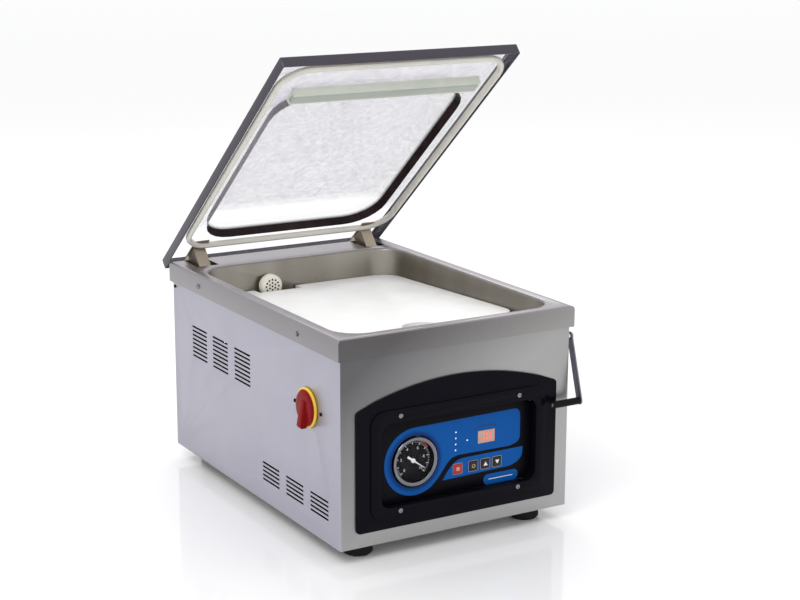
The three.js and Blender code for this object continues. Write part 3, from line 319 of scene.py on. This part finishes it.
def cabinet_steel():
    """Brushed wrap around the front and both sides."""
    colour = (0.44, 0.435, 0.50)
    made = brushed("cabinet_steel", colour, 0.40, contrast=0.05)
    plain = made.shader.inputs["Base Color"].links[0].from_socket
    # front faces get painted shade towards the upper left, lighter towards the lower right
    made.colour(front_painted_shade(made, plain, (0.085, 0.083, 0.08), (0.40, 0.395, 0.38), 0.15))
    return made.material


def deck_steel():
    """The deck's brushed sheet, warmer and softer inside the drawn chamber well, where vertical streaks
    paint highlights and shade on its walls; the front skirt gets painted shade towards its upper left.
    """
    colour = (0.30, 0.285, 0.30)
    made = brushed("deck_steel", colour, 0.3, grain=(0.02, 1, 1), contrast=0.06)
    plain = made.shader.inputs["Base Color"].links[0].from_socket
    x, y, z = made.axes(made.placed())
    low, high = deck_low / MM, deck_high / MM
    inside = made.maths("MULTIPLY", made.maths("LESS_THAN", made.maths("ABSOLUTE", x), 165),
                        made.maths("LESS_THAN", z, high.z - 1.5))
    inside = made.maths("MULTIPLY", inside, made.maths("GREATER_THAN", y, low.y + 10))
    # inside the well: a warm tone streaked up and down with painted highlights and shade
    well_painted_streaks = made.spread(made.noise(60, (1, 1, 0.12), detail=1), (0.22, 0.20, 0.165), (0.34, 0.315, 0.27),
                       0.3, 0.7)
    # front skirt: painted shade towards the upper left, lighter towards the lower right
    skirt_painted_shade = front_painted_shade(made, plain, (0.075, 0.073, 0.07), (0.34, 0.335, 0.325), 0.2)
    made.colour(made.mix(inside, skirt_painted_shade, made.mix(0.85, plain, well_painted_streaks)))
    return made.material


def window_acrylic():
    """Clear acrylic with a milky film of fine curling scratches, clearer outside the gasket."""
    made = Finish("window_acrylic", (0.5, 0.49, 0.56), 0.12, specular=0.35)
    turned = (LID_ANGLE, 0, 0)
    swirl = made.noise(28, (1, 1, 1), detail=9, rough=0.68, distortion=3.2, turn=turned)
    hatch = made.noise(5.0, (1, 0.25, 1), detail=5, rough=0.65, distortion=3.0, turn=turned)
    haze = made.maths("ADD", made.spread(swirl, 0.0, 0.6, 0.36, 0.68), made.spread(hatch, 0.0, 0.25,
                                                                                   0.4, 0.7))
    made.colour(made.spread(haze, (0.80, 0.78, 0.86), (0.38, 0.34, 0.45), 0.1, 0.9))
    x, y, z = made.axes(made.placed(turn=turned))
    edge = made.maths("LESS_THAN", made.maths("ABSOLUTE", made.maths("SUBTRACT", x, hinge_axis.x / MM)),
                      166)
    dust = made.maths("MULTIPLY", made.spread(haze, 0.12, 0.38, 0.05, 0.9), edge)
    rear_edge = (SHUT @ hinge_axis).y / MM - 58
    dust = made.maths("MULTIPLY", dust, made.spread(y, 1.0, 0.08, rear_edge - 38, rear_edge - 27))
    made.link(made.maths("ADD", dust, 0.04), made.shader.inputs["Alpha"])
    made.roughness(made.spread(haze, 0.06, 0.25))
    made.bump(hatch, 0.01, 0.3)
    return made.material


def window_bend_painted_dark():
    """The steep inner bend of the dome, where the thick clear acrylic looks dark, painted near black as
    shade.
    """
    made = Finish("window_bend_painted_dark", (0.013, 0.006, 0.007), 0.25, specular=0.05)
    bands = made.noise(30, (1, 1, 1), detail=1)
    made.colour(made.spread(bands, (0.009, 0.004, 0.005), (0.024, 0.012, 0.013), 0.35, 0.75))
    underside = min((SHUT @ v.co).z for v in nodes["lid_window"].data.vertices) / MM
    height = made.axes(made.placed(turn=(LID_ANGLE, 0, 0)))[2]
    made.link(made.spread(height, 0.995, 0.1, underside + BEND_PAINTED_DARK, underside + BEND_PAINTED_DARK + 4),
              made.shader.inputs["Alpha"])
    return made.material


def clear_glass():
    made = Finish("gauge_glass_clear", (0.25, 0.26, 0.28), 0.04, specular=0.1)
    dust = made.noise(4, detail=5)
    made.link(made.spread(dust, 0.005, 0.03), made.shader.inputs["Alpha"])
    made.roughness(made.spread(dust, 0.03, 0.1))
    return made.material


def panel_ink():
    """Blue ink under a satin film, with painted shade darkening it in the shallow dish around the gauge."""
    blue, dish_shade = (0.0, 0.085, 0.35), (0.0, 0.035, 0.17)
    made = Finish("panel_ink_blue", blue, 0.35, specular=0.12)
    x, y, z = made.axes(made.placed(move=(-gauge_middle.x / MM, 0, -gauge_middle.z / MM)))
    reach = made.maths("SQRT", made.maths("ADD", made.maths("MULTIPLY", x, x), made.maths("MULTIPLY", z,
                                                                                          z)))
    # painted shade: darker blue close round the gauge, fading to plain blue by 42 mm from its middle
    shaded_dish = made.spread(reach, dish_shade, blue, 0.0, 1.0)
    made.link(made.spread(reach, 0.0, 1.0, 37.0, 42.0), shaded_dish.node.inputs["Fac"])
    grain = made.noise(0.5, detail=2)
    tone = made.spread(grain, (0.9, 0.9, 0.9), (1.0, 1.0, 1.0), 0.3, 0.7)
    product = made.node("ShaderNodeMix", data_type="RGBA", blend_type="MULTIPLY")
    product.inputs[0].default_value = 1.0
    made.link(shaded_dish, product.inputs[6])
    made.link(tone, product.inputs[7])
    made.colour(product.outputs[2])
    made.bump(grain, 0.008, 0.3)
    return made.material


def lit(name, colour, strength, roughness=0.3):
    """A lamp or lit segment behind a tinted film."""
    made = moulded(name, colour, roughness, specular=0.2)
    made.set("Emission Color", (*colour, 1))
    made.set("Emission Strength", strength)
    return made.material


def slip_tape():
    """Woven glass tape with a slippery coat."""
    made = Finish("slip_tape_weave", (0.33, 0.2, 0.09), 0.5, specular=0.4)
    weave = made.node("ShaderNodeTexWave", bands_direction="X", wave_profile="SIN")
    weave.inputs["Scale"].default_value = 0.6
    made.link(made.placed(), weave.inputs["Vector"])
    cross = made.node("ShaderNodeTexWave", bands_direction="Y", wave_profile="SIN")
    cross.inputs["Scale"].default_value = 0.6
    made.link(made.placed(), cross.inputs["Vector"])
    both = made.maths("MULTIPLY", weave.outputs["Fac"], cross.outputs["Fac"])
    made.colour(made.spread(both, (0.26, 0.15, 0.06), (0.4, 0.26, 0.13), 0.1, 0.8))
    made.bump(both, 0.05, 0.6)
    return made.material


def silicone(name, colour, roughness=0.4):
    """Milky silicone: soft sheen, dust and a little light passing through."""
    made = moulded(name, colour, roughness, specular=0.4, speckle=0.9, depth=0.03, contrast=0.05)
    made.set("Subsurface Weight", 0.15)
    made.set("Subsurface Radius", (0.004, 0.004, 0.003))
    made.set("Subsurface Scale", 1.0)
    return made.material


steel_wrap = cabinet_steel()
steel_deck = deck_steel()
steel_lid = brushed("lid_steel", (0.085, 0.078, 0.096), 0.36, grain=(0.02, 0.6, 0.6),
                    contrast=0.14).material
steel_hinge = brushed("hinge_steel", (0.40, 0.34, 0.27), 0.42, grain=(1, 0.05, 0.05),
                      contrast=0.12).material
steel_latch = brushed("latch_steel", (0.22, 0.21, 0.24), 0.35, grain=(1, 0.3, 0.05), contrast=0.15).material
steel_tray = cast_or_turned("zinc_sheet", (0.42, 0.41, 0.39), 0.45, size=6).material
rim_chrome = cast_or_turned("rim_chrome", (0.20, 0.20, 0.22), 0.14, size=4, depth=0.005, wear=0.05).material
screw_steel = cast_or_turned("screw_steel", (0.24, 0.24, 0.26), 0.12, size=2, depth=0.01, wear=0.1).material
bright_chrome = cast_or_turned("bright_chrome", (0.75, 0.75, 0.77), 0.12, size=4, depth=0.005,
                               wear=0.05).material
turned_rod = brushed("turned_rod", (0.6, 0.6, 0.62), 0.18, grain=(0.05, 0.05, 1)).material
satin_aluminium = brushed("satin_aluminium", (0.56, 0.57, 0.6), 0.35, grain=(0.05, 1, 1)).material
coil_steel = cast_or_turned("coil_spring_steel", (0.3, 0.3, 0.31), 0.35, size=0.8).material
grey_casting = cast_or_turned("grey_casting", (0.045, 0.055, 0.065), 0.55, metallic=0.3, size=1.2,
                              depth=0.12,
                              wear=0.25).material
blue_grey_paint = cast_or_turned("blue_grey_paint", (0.07, 0.1, 0.13), 0.45, metallic=0.0, size=2.5,
                                 depth=0.05).material
varnished_copper = cast_or_turned("varnished_copper", (0.42, 0.17, 0.06), 0.35, metallic=0.9, size=0.7,
                                  depth=0.1, wear=0.3).material
bezel_gloss = moulded("bezel_gloss_black", (0.003, 0.003, 0.006), 0.2, specular=0.06, speckle=2.5,
                      depth=0.006).material
black_satin = moulded("satin_black", (0.004, 0.004, 0.006), 0.38, specular=0.07, speckle=0.35).material
film_black = moulded("film_black", (0.0025, 0.0025, 0.0045), 0.42, specular=0.08, speckle=0.4,
                     depth=0.008).material
foot_rubber = moulded("foot_rubber", (0.009, 0.009, 0.010), 0.8, specular=0.25, speckle=0.8,
                      depth=0.06).material
grip_rubber = moulded("grip_sleeve", (0.006, 0.006, 0.007), 0.55, specular=0.1, speckle=0.5,
                      depth=0.04).material
hose_rubber = moulded("hose_rubber", (0.03, 0.03, 0.032), 0.7, speckle=0.7, depth=0.05).material
board_white = moulded("board_white", (0.88, 0.88, 0.87), 0.45, specular=0.35, speckle=0.7, depth=0.03,
                      contrast=0.02).material
cap_cream = moulded("cap_cream", (0.80, 0.77, 0.67), 0.35, speckle=0.8, depth=0.01, contrast=0.05).material
gasket_beige = silicone("gasket_beige", (0.70, 0.68, 0.62), 0.45)
pad_milky = silicone("pad_milky", (0.60, 0.63, 0.56), 0.35)
pad_grey_green = silicone("pad_grey_green", (0.42, 0.46, 0.41), 0.4)
knob_red = moulded("knob_red", (0.20, 0.004, 0.005), 0.32, specular=0.08, speckle=1.2,
                   depth=0.008).material
plate_yellow = moulded("plate_yellow", (0.83, 0.55, 0.05), 0.35, speckle=0.8, depth=0.01).material
key_red = moulded("key_red", (0.42, 0.012, 0.022), 0.35, speckle=0.5, depth=0.01).material
key_dark = moulded("key_dark", (0.006, 0.005, 0.006), 0.35, speckle=0.5, depth=0.01).material
dial_black = moulded("dial_black", (0.004, 0.004, 0.005), 0.55, specular=0.1, speckle=0.6,
                     contrast=0.3).material
board_green = moulded("circuit_green", (0.012, 0.12, 0.045), 0.35, speckle=1.2, depth=0.03,
                      contrast=0.25).material
white_ink = moulded("white_ink", (0.82, 0.83, 0.85), 0.4, speckle=0.4, depth=0.005).material
tan_ink = moulded("tan_ink", (0.48, 0.36, 0.24), 0.4, speckle=0.4, depth=0.005).material
# dark print, also used as painted shade inside the port cap's holes
dark_ink_and_hole_shade = moulded("dark_ink_and_hole_shade", (0.004, 0.008, 0.03), 0.4, speckle=0.4, depth=0.005).material
red_ink = moulded("red_ink", (0.65, 0.05, 0.05), 0.4, speckle=0.4, depth=0.005).material
yellow_ink = moulded("yellow_ink", (0.75, 0.6, 0.22), 0.4, speckle=0.4, depth=0.005).material
green_ink = moulded("green_ink", (0.02, 0.3, 0.12), 0.4, speckle=0.4, depth=0.005).material
wire_pink = moulded("wire_pink", (0.62, 0.22, 0.2), 0.45, speckle=1.0).material
blue_ink = panel_ink()
lamp_white = lit("lamp_white", (0.7, 0.82, 1.0), 0.35)
digit_red = lit("digit_red", (1.0, 0.07, 0.01), 0.9)
display_glow = lit("display_glow", (0.50, 0.32, 0.28), 0.08)
acrylic_clear = window_acrylic()
acrylic_bend_painted_dark = window_bend_painted_dark()
glass_clear = clear_glass()
tape_weave = slip_tape()


# ---- the CAD parts, deburred and finished -------------------------------------------------
dress("cabinet_shell", steel_wrap, 0.25 * MM)
dress("chamber_deck", steel_deck, 0, 50)
dress("control_bezel", bezel_gloss, 0.5 * MM)
dress("control_panel", black_satin, 0.2 * MM)
dress("panel_film", film_black, 0.1 * MM)
dress("lid_frame", steel_lid, 0.35 * MM)
dress("lid_gasket", gasket_beige, 0.5 * MM, 45)
dress("pad_holder", pad_milky, 0.4 * MM)
dress("pad_strip", pad_grey_green, 0.4 * MM)
dress("filler_board_lower", board_white, 0.8 * MM)
dress("filler_board_top", board_white, 0.9 * MM)
port_cap = dress("port_cap", cap_cream, 0)
# the port cap's hole walls and floors take the dark ink as painted shade
port_cap.data.materials.append(dark_ink_and_hole_shade)
cap_low, cap_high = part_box("port_cap")
for face in port_cap.data.polygons:
    away = face.center - (cap_low + cap_high) / 2
    hole_painted_shade = away.x ** 2 + away.z ** 2 < (13 * MM) ** 2 and face.center.y > cap_low.y + 0.3 * MM
    if hole_painted_shade and face.center.y < cap_low.y + 6 * MM:
        face.material_index = 1
dress("seal_bar", satin_aluminium, 0.3 * MM)
dress("gauge_rim", rim_chrome, 0.2 * MM)
dress("gauge_needle", white_ink, 0.08 * MM)
dress("gauge_dial", dial_black, 0.1 * MM)
dress("switch_knob", knob_red, 0.9 * MM)
dress("switch_plate", plate_yellow, 0.5 * MM)
dress("latch_arm", steel_latch, 0.4 * MM)
dress("latch_grip", grip_rubber, 0.5 * MM)
dress("latch_bolt", bright_chrome, 0.3 * MM)
dress("display_window", display_glow, 0.2 * MM)
for side in ("left", "right"):
    dress("hinge_arm_" + side, steel_hinge, 0.35 * MM)
    dress("lift_cylinder_" + side, satin_aluminium, 0.4 * MM)
    dress("lift_rod_" + side, turned_rod, 0.3 * MM)
    dress("hinge_bracket_" + side, steel_tray, 0.3 * MM)
    paint("lid_spring_" + side, coil_steel)
    for end in ("front", "rear"):
        dress(f"foot_{end}_{side}", foot_rubber, 0.5 * MM)
for name, material in (("stop_button", key_red), ("set_button", key_dark), ("up_button", key_dark),
                       ("down_button", key_dark)):
    dress(name, material, 0.4 * MM)
for number in range(1, 5):
    dress(f"bezel_screw_{number}", screw_steel, 0.15 * MM)
for name, material, slot in (
    ("rear_panel", steel_wrap, "brushed_steel"),
    ("power_inlet", black_satin, "satin_black"),
    ("vacuum_pump", grey_casting, "cast_iron"),
    ("pump_motor", blue_grey_paint, "motor_paint"),
    ("solenoid_valve", satin_aluminium, "aluminium"),
    ("transformer", varnished_copper, "copper"),
):
    dress(name, material, 0.3 * MM)
for name, material in (
    ("base_pan", steel_tray),
    ("seal_tape", tape_weave),
    ("gauge_case", steel_tray),
    ("gauge_glass", glass_clear),
    ("control_board", board_green),
    ("switch_body", black_satin),
    ("hinge_shaft", turned_rod),
    ("motor_fan", black_satin),
    ("vacuum_hose", hose_rubber),
):
    paint(name, material)


# ---- lid window: the same sheet with its steep inner bend painted dark as shade -------------
def closed_place(point):
    """A point of the open lid, as it lies when the lid is shut, from the hinge axis."""
    return SHUT @ (point - hinge_axis)


def lid_window():
    window = dress("lid_window", acrylic_clear, 0, 40)
    window.data.materials.append(acrylic_bend_painted_dark)
    heights = [closed_place(v.co).z for v in window.data.vertices]
    underside = min(heights)
    for face in window.data.polygons:
        lean = (SHUT @ face.normal).z
        rise = closed_place(face.center).z - underside
        inner = rise < 20 * MM and lean < -0.05
        # faces of the steep inner bend take the near-black painted shade
        face.material_index = 1 if inner and -0.86 < lean and rise > 0.5 * MM else 0
    return window


lid_window()


# ---- flat marks -------------------------------------------------------------------------
def arc(middle_x, middle_y, radius, start, end, steps=12):
    """Points along an arc, angles in degrees anticlockwise from the right."""
    return [(middle_x + radius * cos(radians(start + (end - start) * i / steps)),
             middle_y + radius * sin(radians(start + (end - start) * i / steps))) for i in range(steps + 1)]


def rounded_box(x0, x1, y0, y1, radius):
    corners = ((x1 - radius, y0 + radius, -90), (x1 - radius, y1 - radius, 0),
               (x0 + radius, y1 - radius, 90), (x0 + radius, y0 + radius, 180))
    return [p for x, y, start in corners for p in arc(x, y, radius, start, start + 90, 5)]


def eased(corners, steps=7):
    """Outline through (x, y, radius) corners, each one rounded by its radius."""
    points = []
    for i, (x, y, radius) in enumerate(corners):
        here = Vector((x, y))
        before = Vector(corners[i - 1][:2]) - here
        after = Vector(corners[(i + 1) % len(corners)][:2]) - here
        first = here + before.normalized() * min(radius, before.length * 0.49)
        last = here + after.normalized() * min(radius, after.length * 0.49)
        for step in range(steps + 1 if radius else 1):
            t = step / steps if radius else 0.5
            points.append(tuple((1 - t) ** 2 * first + 2 * t * (1 - t) * here + t ** 2 * last))
    return points


def band(radius, width, start, end, steps=24):
    """A curved stripe about the origin."""
    return arc(0, 0, radius, start, end, steps) + arc(0, 0, radius - width, end, start, steps)


def mark(name, outlines, middle, ink, body="cabinet", height=PRINT_HEIGHT):
    """Flat mark facing the front. Outlines are in millimetres about the middle, which is on the
    printed surface; outlines inside others cut holes."""
    curve = bpy.data.curves.new(name, "CURVE")
    curve.dimensions = "2D"
    curve.fill_mode = "BOTH"
    curve.extrude = height / 2
    for outline in outlines:
        line = curve.splines.new("POLY")
        line.points.add(len(outline) - 1)
        for point, (x, y) in zip(line.points, outline):
            point.co = (x * MM, y * MM, 0, 1)
        line.use_cyclic_u = True
    piece = bpy.data.objects.new(name, curve)
    scene.collection.objects.link(piece)
    select_only(piece)
    bpy.ops.object.convert(target="MESH")
    piece = bpy.context.object
    piece.rotation_euler = (pi / 2, 0, 0)
    piece.location = middle + Vector((0, -height / 2, 0))
    settle(piece)
    edit(piece)
    bpy.ops.mesh.remove_doubles(threshold=0.002 * MM)
    bpy.ops.mesh.normals_make_consistent(inside=False)
    leave_edit()
    return give(piece, ink, body)


film_face = Vector((film_middle.x, film_low.y, film_middle.z))

gauge_x = (gauge_middle.x - film_middle.x) / MM
gauge_z = (gauge_middle.z - film_middle.z) / MM
DISC = 45.5
DISH = 35.0
top_of_disc = arc(gauge_x, gauge_z, DISC, 97, 304, 40)
banner = top_of_disc + eased([(*top_of_disc[-1], 0), (-25, -31.5, 8), (-9, -10, 12), (3, -6.6, 5), (84,
                                                                                                    -7.2, 3),
                              (100.5, -3, 9), (100.5, 43, 11), (gauge_x, gauge_z + DISC, 0)])[1:]
gauge_hole = arc(gauge_x, gauge_z, DISH, 0, 360, 48)[:-1]
display_low, display_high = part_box("display_window")
display_middle = (display_low + display_high) / 2
display_x = (display_middle.x - film_middle.x) / MM
display_z = (display_middle.z - film_middle.z) / MM
display_hole = rounded_box(display_x - 13.6, display_x + 13.6, display_z - 9.1, display_z + 9.1, 0.8)
mark("blue_field", [banner, gauge_hole, display_hole], film_face, blue_ink)

keys = {}
for name in ("stop_button", "set_button", "up_button", "down_button"):
    low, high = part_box(name)
    keys[name] = (low + high) / 2
KEY_HALF = 6.9
key_holes = [rounded_box((at.x - film_middle.x) / MM - KEY_HALF, (at.x - film_middle.x) / MM + KEY_HALF,
                         (at.z - film_middle.z) / MM - KEY_HALF, (at.z - film_middle.z) / MM + KEY_HALF, 1)
             for at in keys.values()]
strip = eased([(-19.5, -37.4, 0.5), (-10.5, -24, 8), (3, -11.8, 12), (105.5, -11.2, 0.5), (104, -27, 12),
               (88, -35.2, 9)])
mark("blue_key_strip", [strip, *key_holes], film_face, blue_ink)
mark("blue_badge", [rounded_box(44, 98, -55.2, -41.0, 6.5)], film_face, blue_ink)
mark("badge_line", [rounded_box(52, 90, -48.6, -47.7, 0.4)], film_face + Vector((0, -PRINT_HEIGHT, 0)),
     white_ink)

bracket = eased([(29, 22.4, 0), (32.5, 27, 1), (60, 27.6, 1), (64.8, 23.4, 0), (64.2, 22.9, 0), (59.6,
                                                                                                 26.5, 1),
                 (33, 26, 1), (29.6, 21.8, 0)])
mark("display_bracket", [bracket], film_face + Vector((0, -PRINT_HEIGHT, 0)), dark_ink_and_hole_shade)

lamps = [(0.3, 24.8), (0.2, 16.5), (0.1, 8.4), (0.0, 0.4), (17.8, 11.2)]
for number, (x, z) in enumerate(lamps, 1):
    middle = film_face + Vector((x * MM, -PRINT_HEIGHT, z * MM))
    mark(f"lamp_{number}", [arc(0, 0, 1.05, 0, 360, 16)[:-1]], middle, lamp_white)

key_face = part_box("stop_button")[0].y
symbols = {
    "stop_button": [rounded_box(-2.4, 2.4, -2.4, 2.4, 0.3)],
    "set_button": [arc(0, 0, 2.6, 0, 360, 24)[:-1], arc(0, 0, 1.7, 0, 360, 24)[:-1]],
    "up_button": [[(-3.2, -2.4), (3.2, -2.4), (0, 2.9)]],
    "down_button": [[(-3.2, 2.4), (0, -2.9), (3.2, 2.4)]],
}
for name, at in keys.items():
    middle = Vector((at.x, film_face.y, at.z))
    mark(name + "_outline", [rounded_box(-7.4, 7.4, -7.4, 7.4, 1.6), rounded_box(-6.9, 6.9, -6.9, 6.9, 1)],
         middle + Vector((0, -PRINT_HEIGHT, 0)), tan_ink)
    ink = tan_ink if name in ("stop_button", "set_button") else white_ink
    mark(name + "_symbol", symbols[name], Vector((at.x, key_face, at.z)), ink,
         nodes[name]["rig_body"])

# two seven-segment digits, one and nought
SEGMENT_LONG, SEGMENT_WIDE = 5.0, 0.9
digit_face = Vector((display_middle.x, display_low.y, display_middle.z))
segments = {"a": (0, 1, 0), "b": (1, 0.5, 1), "c": (1, -0.5, 1), "d": (0, -1, 0), "e": (-1, -0.5, 1),
            "f": (-1, 0.5, 1)}
for digit, (shift, lit_ones) in enumerate(((-6.2, "bc"), (3.2, "abcdef"))):
    bars = []
    for segment in lit_ones:
        side, level, upright = segments[segment]
        x, z = shift + side * SEGMENT_LONG / 2, level * (SEGMENT_LONG + 0.5)
        half_x, half_z = (SEGMENT_WIDE / 2, SEGMENT_LONG / 2) if upright else (SEGMENT_LONG / 2 - 1,
                                                                               SEGMENT_WIDE / 2)
        bars.append([(x - half_x, z - half_z + 0.35), (x + half_x, z - half_z + 0.35),
                     (x + half_x, z + half_z - 0.35), (x - half_x, z + half_z - 0.35)])
    mark(f"digit_{digit + 1}", bars, digit_face, digit_red)

# gauge face: scale, coloured bands and numbers, read clockwise from the lower left
SCALE_START, SCALE_END = 225, -45
dial_middle = Vector((gauge_middle.x, dial_face, gauge_middle.z))
ticks = []
for step in range(51):
    angle = radians(SCALE_START + (SCALE_END - SCALE_START) * step / 50)
    major = step % 5 == 0
    inner, outer, half = (21.2 if major else 23.0), 25.6, (0.4 if major else 0.16)
    out = Vector((cos(angle), sin(angle)))
    across = Vector((-out.y, out.x)) * half
    ticks.append([tuple(out * inner - across), tuple(out * inner + across), tuple(out * outer + across),
                  tuple(out * outer - across)])
mark("dial_ticks", ticks, dial_middle, white_ink)
mark("dial_band_green", [band(27.6, 1.5, 222, 182)], dial_middle, green_ink)
mark("dial_band_yellow", [band(27.6, 1.5, 181, 142)], dial_middle, yellow_ink)
mark("dial_band_red", [band(27.6, 1.5, 141, 32)], dial_middle, red_ink)
for number in range(6):
    angle = radians(SCALE_START + (SCALE_END - SCALE_START) * number / 5)
    bpy.ops.object.select_all(action="DESELECT")
    bpy.ops.object.text_add()
    text = bpy.context.object
    text.data.body = str(number * 2)
    text.data.size = 5.2 * MM
    text.data.align_x = "CENTER"
    text.data.align_y = "CENTER"
    text.data.extrude = PRINT_HEIGHT / 2
    text.name = f"dial_number_{number * 2}"
    bpy.ops.object.convert(target="MESH")
    text = bpy.context.object
    text.rotation_euler = (pi / 2, 0, 0)
    text.location = dial_middle + Vector((cos(angle) * 17.2 * MM, -PRINT_HEIGHT / 2,
                                          sin(angle) * 17.2 * MM))
    settle(text)
    edit(text)
    bpy.ops.mesh.remove_doubles(threshold=0.002 * MM)
    bpy.ops.mesh.normals_make_consistent(inside=False)
    leave_edit()
    give(text, white_ink, "cabinet")


# ---- screws -----------------------------------------------------------------------------
def domed_screw(name, middle, out, radius, height, material):
    """Round-headed screw with a cross recess. Middle is on the wall, out is the wall's normal."""
    bpy.ops.object.select_all(action="DESELECT")
    bpy.ops.mesh.primitive_cylinder_add(vertices=24, radius=radius, depth=height * 0.45)
    head = bpy.context.object
    head.name = name
    for face in head.data.polygons:
        face.select = False
    top = [face for face in head.data.polygons if face.normal.z > 0.9]
    for face in top:
        face.select = True
    bpy.ops.object.mode_set(mode="EDIT")
    bpy.ops.mesh.select_mode(type="FACE")
    for lift, shrink in ((0.28, 0.86), (0.19, 0.78), (0.08, 0.66)):
        bpy.ops.mesh.extrude_region_move(TRANSFORM_OT_translate={"value": (0, 0, height * lift)})
        bpy.ops.transform.resize(value=(shrink, shrink, 1))
    bpy.ops.mesh.inset(thickness=radius * 0.12, depth=0)
    bpy.ops.mesh.inset(thickness=RECESS_INSET, depth=-height * 0.3)
    leave_edit()
    turn = out.to_track_quat("Z", "Y").to_matrix().to_4x4()
    head.data.transform(Matrix.Translation(middle + out * height * 0.225) @ turn)
    smooth(head, 40)
    return give(head, material, "cabinet")


LEFT, RIGHT = Vector((-1, 0, 0)), Vector((1, 0, 0))
skirt_middle = deck_high.z - 16 * MM
for place, y in (("front", deck_low.y + 109 * MM), ("rear", deck_low.y + 413 * MM)):
    domed_screw(f"deck_screw_left_{place}", Vector((deck_low.x, y, skirt_middle)), LEFT, 3.6 * MM, 2.2 * MM,
                screw_steel)
    domed_screw(f"deck_screw_right_{place}", Vector((deck_high.x, y, skirt_middle)), RIGHT, 3.6 * MM,
                2.2 * MM,
                screw_steel)
plate_low, plate_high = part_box("switch_plate")
plate_middle = (plate_low + plate_high) / 2
for place, offset in (("rear", 35.4), ("front", -35.4)):
    domed_screw(f"switch_screw_{place}", Vector((body_low.x, plate_middle.y + offset * MM,
                                                 plate_middle.z)), LEFT,
                2.6 * MM, 1.6 * MM, black_satin)
for name, out, x in (("left", LEFT, body_low.x), ("right", RIGHT, body_high.x)):
    domed_screw(f"wall_screw_{name}", Vector((x, body_high.y - 6 * MM, deck_high.z - 35 * MM)), out,
                2.4 * MM,
                1.5 * MM, black_satin)

# ---- small parts inside the vents and the inlet ------------------------------------------
def smooth_rod(name, points, radius, material, body):
    """Round flexible part through the points, closed at both ends."""
    curve = bpy.data.curves.new(name, "CURVE")
    curve.dimensions = "3D"
    curve.bevel_depth = radius
    curve.bevel_resolution = 4
    curve.use_fill_caps = True
    line = curve.splines.new("BEZIER")
    line.bezier_points.add(len(points) - 1)
    for knot, point in zip(line.bezier_points, points):
        knot.co = point
        knot.handle_left_type = knot.handle_right_type = "AUTO"
    piece = bpy.data.objects.new(name, curve)
    scene.collection.objects.link(piece)
    select_only(piece)
    bpy.ops.object.convert(target="MESH")
    piece = bpy.context.object
    edit(piece)
    bpy.ops.mesh.remove_doubles(threshold=0.01 * MM)
    bpy.ops.mesh.normals_make_consistent(inside=False)
    leave_edit()
    smooth(piece, 50)
    return give(piece, material, body)


def eased_block(name, low, high, width, material, body):
    """Small block between two corners, with its edges and corners rounded."""
    bpy.ops.object.select_all(action="DESELECT")
    bpy.ops.mesh.primitive_cube_add(size=1, location=(Vector(low) + Vector(high)) / 2)
    piece = bpy.context.object
    piece.name = name
    piece.scale = Vector(high) - Vector(low)
    settle(piece)
    edit(piece)
    bpy.ops.mesh.bevel(offset=width, segments=3, affect="EDGES")
    leave_edit()
    smooth(piece, 40)
    return give(piece, material, body)


wire_x = body_low.x + 7 * MM
for number, (shift, drop) in enumerate(((0, 0), (2.2, 5), (4.4, 11)), 1):
    x, rear = wire_x + shift * MM, body_high.y - 30 * MM
    points = [(x, rear - reach * MM, body_high.z - (52 + drop + dip) * MM)
              for reach, dip in ((0, 0), (35, 9), (75, 3), (115, 14), (150, 10))]
    smooth_rod(f"inner_wire_{number}", points, 1.2 * MM, wire_pink, "cabinet")

inlet_low, inlet_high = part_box("power_inlet")
inlet_middle = (inlet_low + inlet_high) / 2
PIN_ROOT = inlet_high.y - 18.2 * MM
for name, across, up in (("earth", 0, 3.6), ("left", -7, -1.6), ("right", 7, -1.6)):
    x, z = inlet_middle.x + across * MM, inlet_middle.z + up * MM
    eased_block(f"inlet_pin_{name}", (x - 1 * MM, PIN_ROOT, z - 2 * MM), (x + 1 * MM,
                                                                          PIN_ROOT + 13 * MM, z + 2 * MM),
                0.5 * MM, bright_chrome, "cabinet")

# ---- studio -----------------------------------------------------------------------------
bpy.ops.object.select_all(action="DESELECT")
bpy.ops.mesh.primitive_plane_add(size=80, location=(0, 0, 0))
floor = bpy.context.object
floor.name = "studio_floor"
floor_finish = Finish("studio_floor_white", (0.92, 0.92, 0.93), 0.1, specular=0.7)
floor_finish.roughness(floor_finish.spread(floor_finish.noise(400, detail=2), 0.085, 0.095))
floor.data.materials.append(floor_finish.material)

world = scene.world or bpy.data.worlds.new("studio")
scene.world = world
world.use_nodes = True
background = world.node_tree.nodes["Background"]
background.inputs["Color"].default_value = (1.0, 1.0, 1.0, 1)
background.inputs["Strength"].default_value = 1.0
scene.view_settings.view_transform = "Standard"


def softbox(name, place, aim, size, power, colour=(1, 1, 1)):
    light = bpy.data.lights.new(name, "AREA")
    light.shape = "RECTANGLE"
    light.size, light.size_y = size
    light.energy = power
    light.color = colour
    lamp = bpy.data.objects.new(name, light)
    scene.collection.objects.link(lamp)
    lamp.location = place
    lamp.rotation_euler = (Vector(aim) - Vector(place)).to_track_quat("-Z", "Y").to_euler()


softbox("key_light", (-1.6, -1.2, 2.4), (0, 0, 0.2), (1.6, 1.2), 26)
softbox("rear_light", (0.8, 2.2, 2.2), (0, 0, 0.3), (2.0, 1.2), 18)

CAMERA_YAW, CAMERA_PITCH, CAMERA_ROLL = 0.535, 0.239, 0.003
camera_data = bpy.data.cameras.new("camera")
camera_data.lens = 80.0
camera_data.sensor_width = 36.0
camera = bpy.data.objects.new("camera", camera_data)
scene.collection.objects.link(camera)
look = (Matrix.Rotation(-CAMERA_YAW, 4, "Z") @ Matrix.Rotation(pi / 2 - CAMERA_PITCH, 4, "X")
        @ Matrix.Rotation(CAMERA_ROLL, 4, "Z"))
from_deck = Vector(((deck_low.x + deck_high.x) / 2 - 1.17997, deck_low.y - 1.83808, 0.85823))
camera.matrix_world = Matrix.Translation(from_deck) @ look
scene.camera = camera
